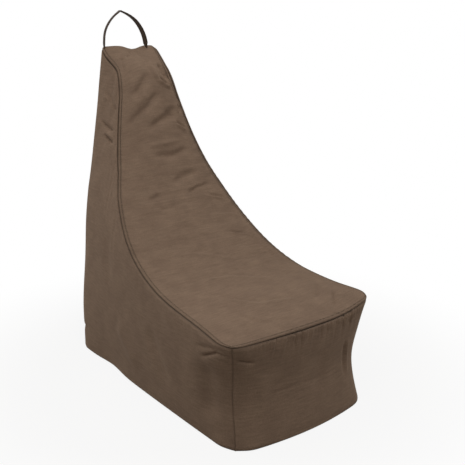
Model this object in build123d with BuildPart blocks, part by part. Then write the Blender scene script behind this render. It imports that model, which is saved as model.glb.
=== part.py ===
"""Bean bag lounge chair: a sewn cover with a carry handle and a zip, a liner and its bead fill.

Millimetres. The chair faces -Y, +X is on the right of someone looking at its front, +Z is up.
The origin is on the floor, under the middle of the chair.
"""

import math
import os
from dataclasses import dataclass

from build123d import *

# Outer form
DEPTH = 863.0
BACK_HEIGHT = 940.0
REAR_LEAN = 20.0

# Plan widths at each level, where the walls would meet without their rounded corners
SEAT_SEAM_HEIGHT = 300.0
SEAT_WIDTH = 518.0
SEAT_REAR_WIDTH = 416.0
BASE_WIDTH = SEAT_WIDTH - 44.0
BASE_REAR_WIDTH = SEAT_REAR_WIDTH + 38.0
WAIST_HEIGHT = 150.0
WAIST_WIDTH = SEAT_WIDTH - 82.0
WAIST_REAR_WIDTH = SEAT_REAR_WIDTH + 30.0
WAIST_DRAW = 14.0
LUMBAR_RISE = 120.0
LUMBAR_WIDTH = SEAT_WIDTH - 30.0
LUMBAR_REAR_WIDTH = SEAT_REAR_WIDTH - 28.0
WAISTBAND_RISE = 280.0
WAISTBAND_WIDTH = 300.0
WAISTBAND_REAR_WIDTH = 330.0
SHOULDER_FALL = 180.0
SHOULDER_WIDTH = 160.0
SHOULDER_REAR_WIDTH = 244.0
RIDGE_WIDTH = 120.0
RIDGE_REAR_WIDTH = 176.0
RIDGE_SPARE = 20.0

# Bulges of the walls in plan, and their corner radii at the floor and at the ridge
FRONT_CROWN = 24.0
SIDE_CROWN = 5.0
REAR_CROWN = 12.0
FRONT_CORNER = 75.0
FRONT_CORNER_TOP = 35.0
REAR_CORNER = 60.0
REAR_CORNER_TOP = 15.0

# Lounge line in side view: setbacks are measured from the ridge, falls from the ridge height
FRONT_EDGE_HEIGHT = 285.0
SEAT_LIP = 141.0
SEAT_HEIGHT = 307.0
SEAT_REAR_SETBACK = 532.0
SEAT_REAR_RISE = 17.0
CROOK_SETBACK = 372.0
CROOK_RISE = 80.0
LUMBAR_SETBACK = 242.0
LUMBAR_LINE_RISE = 202.0
BACK_SETBACK = 162.0
BACK_LINE_RISE = 340.0
BLADE_SETBACK = 110.0
BLADE_FALL = 140.0
SHOULDER_SETBACK = 77.0
SHOULDER_LINE_FALL = 64.0
SEAT_CROWN = 10.0

# Cloth layers
CLOTH = 2.0
LINER_CLOTH = 1.0
LINER_PLAY = 0.8
BEAD_PLAY = 0.4

# Carry handle
STRAP_WIDTH = 20.0
STRAP_THICKNESS = 3.0
STRAP_PLAY = 0.4
HANDLE_SPAN = 146.0
HANDLE_RISE = 96.0
HANDLE_PEAK_ROUND = 8.0
HANDLE_PIVOT_RISE = 8.0
HANDLE_SETBACK = 13.0
HANDLE_FALL = 110.0
TAIL_DROP = 30.0

# Zip, low on the back
ZIP_HEIGHT = 62.0
ZIP_SLOT_LENGTH = 330.0
ZIP_SLOT_HEIGHT = 14.0
ZIP_ROOM = 5.0
TAPE_HEM = 3.0
TAPE_EDGE = 2.3
TAPE_REACH = 16.0
TAPE_THICKNESS = 0.8
TAPE_PLAY = 0.5
TOOTH_PITCH = 4.0
TOOTH_LENGTH = 1.8
TOOTH_THICKNESS = 2.6
TOOTH_ROOT = 3.9
TOOTH_TIP = 1.0
STOP_LENGTH = 3.0
STOP_REACH = 5.2
STOP_GAP = 1.2
STOP_MARGIN = 6.0

# Zip slider: two plates on a neck, with lips that hold the teeth in, and no pull
SLIDER_LENGTH = 16.0
SLIDER_FRONT_WIDTH = 12.0
SLIDER_REAR_WIDTH = 10.4
SLIDER_ROUND = 1.5
SLIDER_PLATE = 1.4
SLIDER_PLAY = 0.3
SLIDER_SLOT = 1.4
NECK_LENGTH = 6.0
NECK_WIDTH = 4.0
LUG_LENGTH = 7.0
LUG_WIDTH = 3.0
LUG_RISE = 2.6
LUG_HOLE = 1.4

# Reach of the solids that cut others
CUTTER_REACH = 60.0
CORNER_SHARE = 1 - math.sqrt(0.5)


@dataclass
class Level:
    """One plan section of the cover."""

    height: float
    front_half: float
    rear_half: float
    draw: float = 0.0
    rear_crown: float = 0.0

    @property
    def share(self):
        """Height as a share of the back's height."""
        return min(self.height / BACK_HEIGHT, 1.0)

    @property
    def front(self):
        """Foremost y of the wall."""
        return self.draw - DEPTH / 2

    @property
    def rear(self):
        """Rearmost y of the wall."""
        return DEPTH / 2 - REAR_LEAN * (1 - self.share)

    @property
    def front_radius(self):
        """Radius of the front corners."""
        return FRONT_CORNER + (FRONT_CORNER_TOP - FRONT_CORNER) * self.share

    @property
    def rear_radius(self):
        """Radius of the rear corners."""
        return REAR_CORNER + (REAR_CORNER_TOP - REAR_CORNER) * self.share


def rear_crown(height):
    """Bulge of the back wall: none up to the waist, most at mid height."""
    share = (height - WAIST_HEIGHT) / (BACK_HEIGHT - WAIST_HEIGHT)
    return REAR_CROWN * math.sin(math.pi * min(share, 1.0))


def cover_levels():
    """Plan sections from the floor to just above the ridge."""
    zip_share = ZIP_HEIGHT / WAIST_HEIGHT
    zip_width = BASE_WIDTH + (WAIST_WIDTH - BASE_WIDTH) * zip_share
    zip_rear_width = BASE_REAR_WIDTH + (WAIST_REAR_WIDTH - BASE_REAR_WIDTH) * zip_share
    lumbar = SEAT_SEAM_HEIGHT + LUMBAR_RISE
    waistband = SEAT_SEAM_HEIGHT + WAISTBAND_RISE
    shoulder = BACK_HEIGHT - SHOULDER_FALL
    return [
        Level(0.0, BASE_WIDTH / 2, BASE_REAR_WIDTH / 2),
        Level(ZIP_HEIGHT, zip_width / 2, zip_rear_width / 2, WAIST_DRAW * zip_share),
        Level(WAIST_HEIGHT, WAIST_WIDTH / 2, WAIST_REAR_WIDTH / 2, WAIST_DRAW),
        Level(SEAT_SEAM_HEIGHT, SEAT_WIDTH / 2, SEAT_REAR_WIDTH / 2, 0.0, rear_crown(SEAT_SEAM_HEIGHT)),
        Level(lumbar, LUMBAR_WIDTH / 2, LUMBAR_REAR_WIDTH / 2, 0.0, rear_crown(lumbar)),
        Level(waistband, WAISTBAND_WIDTH / 2, WAISTBAND_REAR_WIDTH / 2, 0.0, rear_crown(waistband)),
        Level(shoulder, SHOULDER_WIDTH / 2, SHOULDER_REAR_WIDTH / 2, 0.0, rear_crown(shoulder)),
        Level(BACK_HEIGHT + RIDGE_SPARE, RIDGE_WIDTH / 2, RIDGE_REAR_WIDTH / 2),
    ]


LEVELS = cover_levels()


def tower(inset, rear_room=0.0):
    """The four walls as one solid, drawn in by inset and carried up past the ridge."""
    with BuildPart() as form:
        for level in LEVELS:
            front = level.front + inset
            rear = level.rear - inset - rear_room
            front_half = level.front_half - inset
            taper = (level.rear_half - level.front_half) / (level.rear - level.front)
            rear_half = level.rear_half - inset - taper * rear_room
            front_corner = front + FRONT_CROWN
            rear_corner = rear - level.rear_crown
            side_half = (front_half + rear_half) / 2 + SIDE_CROWN
            middle = (front_corner + rear_corner) / 2
            with BuildSketch(Plane.XY.offset(level.height)) as plan:
                with BuildLine():
                    ThreePointArc((-front_half, front_corner), (0, front), (front_half, front_corner))
                    ThreePointArc((front_half, front_corner), (side_half, middle), (rear_half, rear_corner))
                    if level.rear_crown > 0:
                        ThreePointArc((rear_half, rear_corner), (0, rear), (-rear_half, rear_corner))
                    else:
                        Line((rear_half, rear_corner), (-rear_half, rear_corner))
                    ThreePointArc((-rear_half, rear_corner), (-side_half, middle), (-front_half, front_corner))
                make_face()
                fillet(plan.vertices().sort_by(Axis.Y)[:2], radius=level.front_radius - inset)
                fillet(plan.vertices().sort_by(Axis.Y)[-2:], radius=level.rear_radius - inset)
        loft()
        if inset > 0:
            split(bisect_by=Plane.XY.offset(inset), keep=Keep.TOP)
    return form.part


def lounge_line(inset):
    """Points of the seat and back in side view, moved into the bag by inset."""
    ridge = DEPTH / 2
    line = [
        Vector(-ridge, FRONT_EDGE_HEIGHT),
        Vector(SEAT_LIP - ridge, SEAT_HEIGHT),
        Vector(ridge - SEAT_REAR_SETBACK, SEAT_HEIGHT + SEAT_REAR_RISE),
        Vector(ridge - CROOK_SETBACK, SEAT_HEIGHT + CROOK_RISE),
        Vector(ridge - LUMBAR_SETBACK, SEAT_HEIGHT + LUMBAR_LINE_RISE),
        Vector(ridge - BACK_SETBACK, SEAT_HEIGHT + BACK_LINE_RISE),
        Vector(ridge - BLADE_SETBACK, BACK_HEIGHT - BLADE_FALL),
        Vector(ridge - SHOULDER_SETBACK, BACK_HEIGHT - SHOULDER_LINE_FALL),
        Vector(ridge, BACK_HEIGHT),
    ]
    moved = []
    for index, point in enumerate(line):
        before = line[max(index - 1, 0)]
        after = line[min(index + 1, len(line) - 1)]
        along = (after - before).normalized()
        moved.append(point + Vector(along.Y, -along.X) * inset)
    return moved


def hollow(inset):
    """The space above the seat and in front of the back, reaching into the bag by inset."""
    half = SEAT_WIDTH / 2 + CUTTER_REACH
    edge_drop = SEAT_CROWN * (2 * half / SEAT_WIDTH) ** 2
    top = BACK_HEIGHT + 2 * CUTTER_REACH
    with BuildPart() as space:
        for station, drop in ((-half, edge_drop), (0.0, 0.0), (half, edge_drop)):
            line = lounge_line(inset + drop)
            first = (line[1] - line[0]).normalized()
            last = (line[-1] - line[-2]).normalized()
            lead = line[0] - first * CUTTER_REACH
            tail = line[-1] + last * CUTTER_REACH
            with BuildSketch(Plane.YZ.offset(station)):
                with BuildLine():
                    Line(lead, line[0])
                    Spline(*line, tangents=[first, last])
                    Polyline(line[-1], tail, (tail.X, top), (lead.X, top), lead)
                make_face()
        loft()
    return space.part


def bag(inset, top):
    """A stuffed inner form, drawn in by inset, with room for the zip, and cut level at top."""
    form = tower(inset, ZIP_ROOM)
    scoop = hollow(inset)
    with BuildPart() as stuffed:
        add(form)
        add(scoop, mode=Mode.SUBTRACT)
        split(bisect_by=Plane.XY.offset(top), keep=Keep.BOTTOM)
    return stuffed.part


def corner_wedge(levels, front):
    """Solid that reaches the corner seams of the front or the rear wall, to cut it from the sides."""
    with BuildPart() as wedge:
        for level in levels:
            if front:
                across = level.front_half - CORNER_SHARE * level.front_radius
                along = level.front + FRONT_CROWN + CORNER_SHARE * level.front_radius
                outward = -CUTTER_REACH
            else:
                across = level.rear_half - CORNER_SHARE * level.rear_radius
                along = level.rear - level.rear_crown - CORNER_SHARE * level.rear_radius
                outward = CUTTER_REACH
            with BuildSketch(Plane.XY.offset(level.height)):
                with BuildLine():
                    Polyline(
                        (-across - CUTTER_REACH, along + outward),
                        (across + CUTTER_REACH, along + outward),
                        (across - CUTTER_REACH, along - outward),
                        (CUTTER_REACH - across, along - outward),
                        close=True,
                    )
                make_face()
        loft()
    return wedge.part


def save(piece, name):
    """Label a finished piece and write its file."""
    piece.part.label = name
    export_step(piece.part, f"parts/{name}.step")


os.makedirs("parts", exist_ok=True)

# The cover's outside, its inside, and the seams that part its walls
tower_outer = tower(0.0)
tower_cloth = tower(CLOTH)
hollow_outer = hollow(0.0)
hollow_cloth = hollow(CLOTH)
front_levels = [level for level in LEVELS if level.height <= SEAT_SEAM_HEIGHT + LUMBAR_RISE]
front_wedge = corner_wedge(front_levels, front=True)
rear_wedge = corner_wedge(LEVELS, front=False)

with BuildPart() as walls:
    add(tower_outer)
    add(hollow_cloth, mode=Mode.SUBTRACT)
    add(tower_cloth, mode=Mode.SUBTRACT)
    split(bisect_by=Plane.XY.offset(CLOTH), keep=Keep.TOP)

# Seat panel: seat, backrest and shoulder in one length, slit where the strap's ends go in
handle_y = DEPTH / 2 - HANDLE_SETBACK
handle_pivot = BACK_HEIGHT + HANDLE_PIVOT_RISE
strap_middle = (HANDLE_SPAN - STRAP_THICKNESS) / 2

with BuildPart() as seat_panel:
    add(tower_outer)
    add(hollow_outer, mode=Mode.SUBTRACT)
    add(hollow_cloth, mode=Mode.INTERSECT)
    with Locations((-strap_middle, handle_y, BACK_HEIGHT), (strap_middle, handle_y, BACK_HEIGHT)):
        Box(
            STRAP_THICKNESS + 2 * STRAP_PLAY,
            STRAP_WIDTH + 2 * STRAP_PLAY,
            2 * TAIL_DROP,
            mode=Mode.SUBTRACT,
        )
save(seat_panel, "seat_panel")

with BuildPart() as front_panel:
    add(walls.part)
    add(front_wedge, mode=Mode.INTERSECT)
save(front_panel, "front_panel")

with BuildPart() as sides:
    add(walls.part)
    add(front_wedge, mode=Mode.SUBTRACT)
    add(rear_wedge, mode=Mode.SUBTRACT)

with BuildPart() as left_side_panel:
    add(sides.part)
    split(bisect_by=Plane.YZ, keep=Keep.BOTTOM)
save(left_side_panel, "left_side_panel")

with BuildPart() as right_side_panel:
    add(sides.part)
    split(bisect_by=Plane.YZ, keep=Keep.TOP)
save(right_side_panel, "right_side_panel")

# The back, parted at the zip: the two panels meet beside the zip's slot
zip_wall_y = DEPTH / 2 - REAR_LEAN * (1 - ZIP_HEIGHT / BACK_HEIGHT)

with BuildPart() as rear_wall:
    add(walls.part)
    add(rear_wedge, mode=Mode.INTERSECT)
    with Locations((0, zip_wall_y, ZIP_HEIGHT)):
        Box(ZIP_SLOT_LENGTH, CUTTER_REACH, ZIP_SLOT_HEIGHT, mode=Mode.SUBTRACT)

with BuildPart() as rear_panel_upper:
    add(rear_wall.part)
    split(bisect_by=Plane.XY.offset(ZIP_HEIGHT), keep=Keep.TOP)
save(rear_panel_upper, "rear_panel_upper")

with BuildPart() as rear_panel_lower:
    add(rear_wall.part)
    split(bisect_by=Plane.XY.offset(ZIP_HEIGHT), keep=Keep.BOTTOM)
save(rear_panel_lower, "rear_panel_lower")

with BuildPart() as base_panel:
    add(tower_outer)
    split(bisect_by=Plane.XY.offset(CLOTH), keep=Keep.BOTTOM)
save(base_panel, "base_panel")

# Liner, sewn from two halves along the middle, and the beads that fill it
liner_inset = CLOTH + LINER_PLAY
liner_top = BACK_HEIGHT - TAIL_DROP - LINER_PLAY
liner_outer = bag(liner_inset, liner_top)
liner_inner = bag(liner_inset + LINER_CLOTH, liner_top - LINER_CLOTH)

with BuildPart() as liner:
    add(liner_outer)
    add(liner_inner, mode=Mode.SUBTRACT)

with BuildPart() as liner_left_half:
    add(liner.part)
    split(bisect_by=Plane.YZ, keep=Keep.BOTTOM)
save(liner_left_half, "liner_left_half")

with BuildPart() as liner_right_half:
    add(liner.part)
    split(bisect_by=Plane.YZ, keep=Keep.TOP)
save(liner_right_half, "liner_right_half")

beads = bag(liner_inset + LINER_CLOTH + BEAD_PLAY, liner_top - LINER_CLOTH - BEAD_PLAY)
with BuildPart() as bead_fill:
    add(beads)
save(bead_fill, "bead_fill")

# Carry handle: a pointed arch of strap, with round feet on the line that it flops about
leg_radius = (strap_middle**2 + HANDLE_RISE**2) / (2 * strap_middle)

with BuildPart() as carry_handle:
    with BuildSketch(Plane.XZ.offset(-handle_y)):
        with BuildLine() as arch:
            left_leg = RadiusArc((-strap_middle, handle_pivot), (0, handle_pivot + HANDLE_RISE), leg_radius)
            mirror(left_leg, about=Plane.YZ)
            offset(amount=STRAP_THICKNESS / 2, kind=Kind.INTERSECTION)
        make_face()
    extrude(amount=STRAP_WIDTH / 2, both=True)
    inner_peak, outer_peak = carry_handle.edges().filter_by(Axis.Y).sort_by(Axis.Z)[-2:]
    fillet(inner_peak, radius=HANDLE_PEAK_ROUND)
    fillet(carry_handle.edges().filter_by(Axis.Y).sort_by(Axis.Z)[-1], HANDLE_PEAK_ROUND + STRAP_THICKNESS)
    for side in (-1, 1):
        with BuildSketch(Plane.YZ.offset(side * strap_middle)):
            with Locations((handle_y, handle_pivot)):
                Circle(STRAP_WIDTH / 2)
        extrude(amount=STRAP_THICKNESS / 2, both=True)
save(carry_handle, "carry_handle")

# Strap ends: they go down through the slits, and are cut off along the strap where it lies fallen forward
tail_slope = math.tan(math.radians(HANDLE_FALL - 90))
tail_middle = handle_pivot - (STRAP_WIDTH / 2 + STRAP_PLAY) / math.sin(math.radians(HANDLE_FALL))
tail_rise = tail_slope * STRAP_WIDTH / 2
tail_front = handle_y - STRAP_WIDTH / 2
tail_rear = handle_y + STRAP_WIDTH / 2
tail_foot = BACK_HEIGHT - TAIL_DROP

for side, name in ((-1, "handle_tail_left"), (1, "handle_tail_right")):
    with BuildPart() as handle_tail:
        with BuildSketch(Plane.YZ.offset(side * strap_middle)):
            with BuildLine():
                Polyline(
                    (tail_front, tail_foot),
                    (tail_rear, tail_foot),
                    (tail_rear, tail_middle + tail_rise),
                    (tail_front, tail_middle - tail_rise),
                    close=True,
                )
            make_face()
        extrude(amount=STRAP_THICKNESS / 2, both=True)
    save(handle_tail, name)

# Zip: tapes behind the two back panels, and teeth clamped on the tapes' edges
tape_y = zip_wall_y - CLOTH - TAPE_PLAY - TAPE_THICKNESS / 2
zip_plane = Plane((0, tape_y, ZIP_HEIGHT), x_dir=(-1, 0, 0), z_dir=(0, 1, 0))
slot_end = ZIP_SLOT_LENGTH / 2
bottom_stop_x = slot_end - STOP_MARGIN - STOP_LENGTH / 2
slider_x = STOP_MARGIN + STOP_LENGTH + SLIDER_PLAY + SLIDER_LENGTH / 2 - slot_end
neck_x = slider_x - SLIDER_LENGTH / 2 + NECK_LENGTH
chain_length = bottom_stop_x - STOP_LENGTH / 2 - SLIDER_PLAY - neck_x
tooth_count = int(chain_length / TOOTH_PITCH)
first_tooth_x = bottom_stop_x - STOP_LENGTH / 2 - SLIDER_PLAY - TOOTH_LENGTH / 2

tapes = {}
for side, name in ((1, "zip_tape_upper"), (-1, "zip_tape_lower")):
    with BuildPart() as zip_tape:
        with BuildSketch(zip_plane):
            with Locations((0, side * (TAPE_REACH + TAPE_EDGE) / 2)):
                Rectangle(ZIP_SLOT_LENGTH + 2 * TAPE_HEM, TAPE_REACH - TAPE_EDGE)
        extrude(amount=TAPE_THICKNESS / 2, both=True)
    tapes[side] = zip_tape.part
    save(zip_tape, name)

for side, name in ((1, "zip_teeth_upper"), (-1, "zip_teeth_lower")):
    start = first_tooth_x - TOOTH_PITCH / 2 * (side < 0)
    places = [(start - TOOTH_PITCH * n, side * (TOOTH_ROOT - TOOTH_TIP) / 2) for n in range(tooth_count)]
    with BuildPart() as zip_teeth:
        with BuildSketch(zip_plane):
            with Locations(*places):
                Rectangle(TOOTH_LENGTH, TOOTH_ROOT + TOOTH_TIP)
        extrude(amount=TOOTH_THICKNESS / 2, both=True)
        add(tapes[side], mode=Mode.SUBTRACT)
    save(zip_teeth, name)

with BuildPart() as zip_top_stops:
    with BuildSketch(zip_plane):
        with Locations((STOP_MARGIN + STOP_LENGTH / 2 - slot_end, 0)):
            with GridLocations(0, STOP_REACH + STOP_GAP, 1, 2):
                Rectangle(STOP_LENGTH, STOP_REACH - STOP_GAP)
    extrude(amount=TOOTH_THICKNESS / 2, both=True)
    add(tapes[1], mode=Mode.SUBTRACT)
    add(tapes[-1], mode=Mode.SUBTRACT)
save(zip_top_stops, "zip_top_stops")

with BuildPart() as zip_bottom_stop:
    with BuildSketch(zip_plane):
        with Locations((bottom_stop_x, 0)):
            Rectangle(STOP_LENGTH, 2 * STOP_REACH)
    extrude(amount=TOOTH_THICKNESS / 2, both=True)
    add(tapes[1], mode=Mode.SUBTRACT)
    add(tapes[-1], mode=Mode.SUBTRACT)
save(zip_bottom_stop, "zip_bottom_stop")

# Slider at the closed end: its neck lies just past the last teeth
channel = TOOTH_THICKNESS + 2 * SLIDER_PLAY
slider_front = slider_x - SLIDER_LENGTH / 2
slider_rear = slider_x + SLIDER_LENGTH / 2

with BuildPart() as zip_slider:
    with BuildSketch(zip_plane) as shield:
        with BuildLine():
            Polyline(
                (slider_front, SLIDER_FRONT_WIDTH / 2),
                (slider_rear, SLIDER_REAR_WIDTH / 2),
                (slider_rear, -SLIDER_REAR_WIDTH / 2),
                (slider_front, -SLIDER_FRONT_WIDTH / 2),
                close=True,
            )
        make_face()
        fillet(shield.vertices(), radius=SLIDER_ROUND)
    extrude(amount=channel / 2 + SLIDER_PLATE, both=True)
    with BuildSketch(zip_plane):
        with Locations((slider_x, 0)):
            Rectangle(2 * SLIDER_LENGTH, 2 * (TOOTH_ROOT + SLIDER_PLAY))
        with BuildLine():
            Polyline(
                (neck_x - SLIDER_PLAY, 0),
                (neck_x - NECK_LENGTH / 2, NECK_WIDTH / 2),
                (slider_front, NECK_WIDTH / 4),
                (slider_front, -NECK_WIDTH / 4),
                (neck_x - NECK_LENGTH / 2, -NECK_WIDTH / 2),
                close=True,
            )
        make_face(mode=Mode.SUBTRACT)
    extrude(amount=channel / 2, both=True, mode=Mode.SUBTRACT)
    for side in (-1, 1):
        with BuildSketch(zip_plane):
            with Locations((slider_x, side * (TAPE_EDGE - SLIDER_PLAY + TAPE_REACH) / 2)):
                Rectangle(2 * SLIDER_LENGTH, TAPE_REACH - TAPE_EDGE + SLIDER_PLAY)
        extrude(amount=SLIDER_SLOT / 2, both=True, mode=Mode.SUBTRACT)
    with BuildSketch(zip_plane.offset(channel / 2 + SLIDER_PLATE)):
        with Locations((slider_x, 0)):
            Rectangle(LUG_LENGTH, LUG_WIDTH)
    extrude(amount=LUG_RISE)
    with BuildSketch(Plane.XY.offset(ZIP_HEIGHT)):
        with Locations((-slider_x, tape_y + channel / 2 + SLIDER_PLATE + LUG_RISE / 2)):
            SlotOverall(LUG_LENGTH / 2, LUG_HOLE)
    extrude(amount=LUG_WIDTH, both=True, mode=Mode.SUBTRACT)
save(zip_slider, "zip_slider")
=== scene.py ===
"""Dressed model of a bean bag lounge chair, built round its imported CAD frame.

Sizes are in millimetres and become metres when a mesh is made. The chair faces -Y, stands on z = 0, and
+X is on the right of someone looking at its front.
"""

import logging
import math
from collections.abc import Sequence
from dataclasses import dataclass, field
from enum import Enum

import bpy
import numpy as np
from mathutils import Matrix, Vector


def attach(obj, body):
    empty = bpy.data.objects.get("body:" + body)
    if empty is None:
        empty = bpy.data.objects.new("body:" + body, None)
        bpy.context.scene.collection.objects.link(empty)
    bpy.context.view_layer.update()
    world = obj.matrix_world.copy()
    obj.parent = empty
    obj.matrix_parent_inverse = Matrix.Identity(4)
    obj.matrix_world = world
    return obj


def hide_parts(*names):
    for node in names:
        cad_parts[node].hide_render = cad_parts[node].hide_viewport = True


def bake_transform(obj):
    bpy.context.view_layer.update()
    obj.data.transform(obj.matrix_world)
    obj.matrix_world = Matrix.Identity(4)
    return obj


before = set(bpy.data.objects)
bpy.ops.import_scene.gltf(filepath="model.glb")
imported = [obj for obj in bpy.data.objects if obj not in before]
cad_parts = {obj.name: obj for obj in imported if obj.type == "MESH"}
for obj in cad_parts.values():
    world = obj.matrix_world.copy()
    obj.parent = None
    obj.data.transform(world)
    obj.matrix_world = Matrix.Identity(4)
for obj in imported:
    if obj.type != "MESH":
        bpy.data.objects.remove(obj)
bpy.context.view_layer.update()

Array = np.ndarray
MM = 0.001
# A wave texture of scale 1 repeats at this distance
WAVE_UNIT = math.pi / 10
# A table's length less this is a place just before its last row
BEFORE_LAST = 1.001
log = logging.getLogger("bean_bag")


def linear(code: str) -> tuple[float, float, float, float]:
    """Turn an sRGB hex value into linear colour.

    Args:
        code: six hex digits after a hash sign.

    Returns:
        Red, green, blue and an alpha of one.
    """
    parts = [int(code[i : i + 2], 16) / 255 for i in (1, 3, 5)]
    tuned = [p / 12.92 if p <= 0.04045 else ((p + 0.055) / 1.055) ** 2.4 for p in parts]
    return (*tuned, 1.0)


def add_node(
    tree: bpy.types.NodeTree, kind: str, links: dict | None = None, **settings: object,
) -> bpy.types.Node:
    """Add one node with its settings, and set or link its inputs.

    Args:
        tree: the tree that gets the node.
        kind: Blender's name of the node type.
        links: for each input, by name or number, a value or an output socket.
        settings: properties of the node.

    Returns:
        The new node.
    """
    made = tree.nodes.new(kind)
    for name, value in settings.items():
        setattr(made, name, value)
    for name, value in (links or {}).items():
        if isinstance(value, bpy.types.NodeSocket):
            tree.links.new(value, made.inputs[name])
        else:
            made.inputs[name].default_value = value
    return made


def new_material(name: str) -> tuple[bpy.types.Material, bpy.types.NodeTree, bpy.types.Node]:
    """Start a material.

    Args:
        name: the material's name.

    Returns:
        The material, its node tree and its shader.
    """
    made = bpy.data.materials.new(name)
    made.use_nodes = True
    return made, made.node_tree, made.node_tree.nodes["Principled BSDF"]


def add_object(name: str, data: bpy.types.ID) -> bpy.types.Object:
    """Put a mesh, curve, lamp or camera into the scene.

    Args:
        name: the object's name.
        data: what the object shows or does.

    Returns:
        The object.
    """
    made = bpy.data.objects.new(name, data)
    bpy.context.scene.collection.objects.link(made)
    return made


def smooth(share: Array | float) -> Array | float:
    """Ease from 0 to 1 with flat ends."""
    held = np.clip(share, 0.0, 1.0)
    return held * held * (3 - 2 * held)


def hump(away: Array, width: float) -> Array:
    """A soft hump: 1 in its middle, fading over its width."""
    return np.exp(-((away / width) ** 2))


def unit(vectors: Array) -> Array:
    """Scale vectors to length one."""
    return vectors / np.maximum(np.linalg.norm(vectors, axis=-1, keepdims=True), 1e-9)


def running_length(points: Array) -> Array:
    """Distance along a line of points, from its first point."""
    steps = np.linalg.norm(np.diff(points, axis=0), axis=1)
    return np.concatenate([[0.0], np.cumsum(steps)])


def along_line(points: Array, places: Array) -> Array:
    """Points of a line at given distances along it.

    Args:
        points: the line, one row a point, with any columns beyond the third carried along.
        places: distances from the line's start.

    Returns:
        One row for each place.
    """
    run = running_length(points[:, :3])
    return np.stack([np.interp(places, run, points[:, c]) for c in range(points.shape[1])], axis=1)


def sampled(table: Array, row: Array, column: Array) -> Array:
    """Values between the rows and columns of a table, blended in straight lines.

    Args:
        table: rows by columns by the parts of a value.
        row: places among the rows, each before the last row.
        column: places among the columns, each before the last column.

    Returns:
        A value for each row and column place.
    """
    r, c = row.astype(int), column.astype(int)
    down, over = (row - r)[..., None], (column - c)[..., None]
    low = table[r, c] * (1 - over) + table[r, c + 1] * over
    high = table[r + 1, c] * (1 - over) + table[r + 1, c + 1] * over
    return low * (1 - down) + high * down


def quad_faces(index: Array) -> Array:
    """Four-cornered faces between the rows and columns of a grid of vertex numbers."""
    corners = [index[:-1, :-1], index[:-1, 1:], index[1:, 1:], index[1:, :-1]]
    return np.stack(corners, axis=-1).reshape(-1, 4)


class CubicLine:
    """A cubic spline through given values, straight beyond its ends."""

    def __init__(self, places: Sequence[float], values: Sequence, ends: tuple | None = None) -> None:
        """Solve the slopes of the spline.

        Args:
            places: rising places of the values.
            values: a number or a point for each place.
            ends: the slopes at both ends, or None for free ends.
        """
        self.places = np.asarray(places, float)
        self.values = np.asarray(values, float).reshape(len(places), -1)
        count = len(places)
        gaps = np.diff(self.places)
        rises = np.diff(self.values, axis=0) / gaps[:, None]
        matrix = np.zeros((count, count))
        right = np.zeros_like(self.values)
        for i in range(1, count - 1):
            matrix[i, i - 1 : i + 2] = 1 / gaps[i - 1], 2 / gaps[i - 1] + 2 / gaps[i], 1 / gaps[i]
            right[i] = 3 * (rises[i - 1] / gaps[i - 1] + rises[i] / gaps[i])
        if ends is None:
            matrix[0, :2] = 2, 1
            matrix[-1, -2:] = 1, 2
            right[0], right[-1] = 3 * rises[0], 3 * rises[-1]
        else:
            matrix[0, 0] = matrix[-1, -1] = 1
            right[0], right[-1] = ends
        self.slopes = np.linalg.solve(matrix, right)

    def at(self, where: Array | float) -> Array:
        """Values of the spline.

        Args:
            where: places along it.

        Returns:
            One row for each place.
        """
        where = np.atleast_1d(np.asarray(where, float))
        held = np.clip(where, self.places[0], self.places[-1])
        span = np.clip(np.searchsorted(self.places, held) - 1, 0, len(self.places) - 2)
        gap = self.places[span + 1] - self.places[span]
        t = ((held - self.places[span]) / gap)[:, None]
        bend = self.slopes[span] * (1 - t) - self.slopes[span + 1] * t
        inside = (
            self.values[span] * (1 + 2 * t) * (1 - t) ** 2
            + self.values[span + 1] * t * t * (3 - 2 * t)
            + gap[:, None] * t * (1 - t) * bend
        )
        before = np.minimum(where - self.places[0], 0)[:, None] * self.slopes[0]
        after = np.maximum(where - self.places[-1], 0)[:, None] * self.slopes[-1]
        return inside + before + after

    def slope(self, where: Array | float) -> Array:
        """Slopes of the spline.

        Args:
            where: places along it.

        Returns:
            One row for each place.
        """
        step = 0.01
        where = np.atleast_1d(np.asarray(where, float))
        return (self.at(where + step) - self.at(where - step)) / (2 * step)


class Wall(Enum):
    """The three kinds of wall that the plan outline is cut into at its corner seams."""

    FRONT = "front"
    SIDE = "side"
    REAR = "rear"


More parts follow.
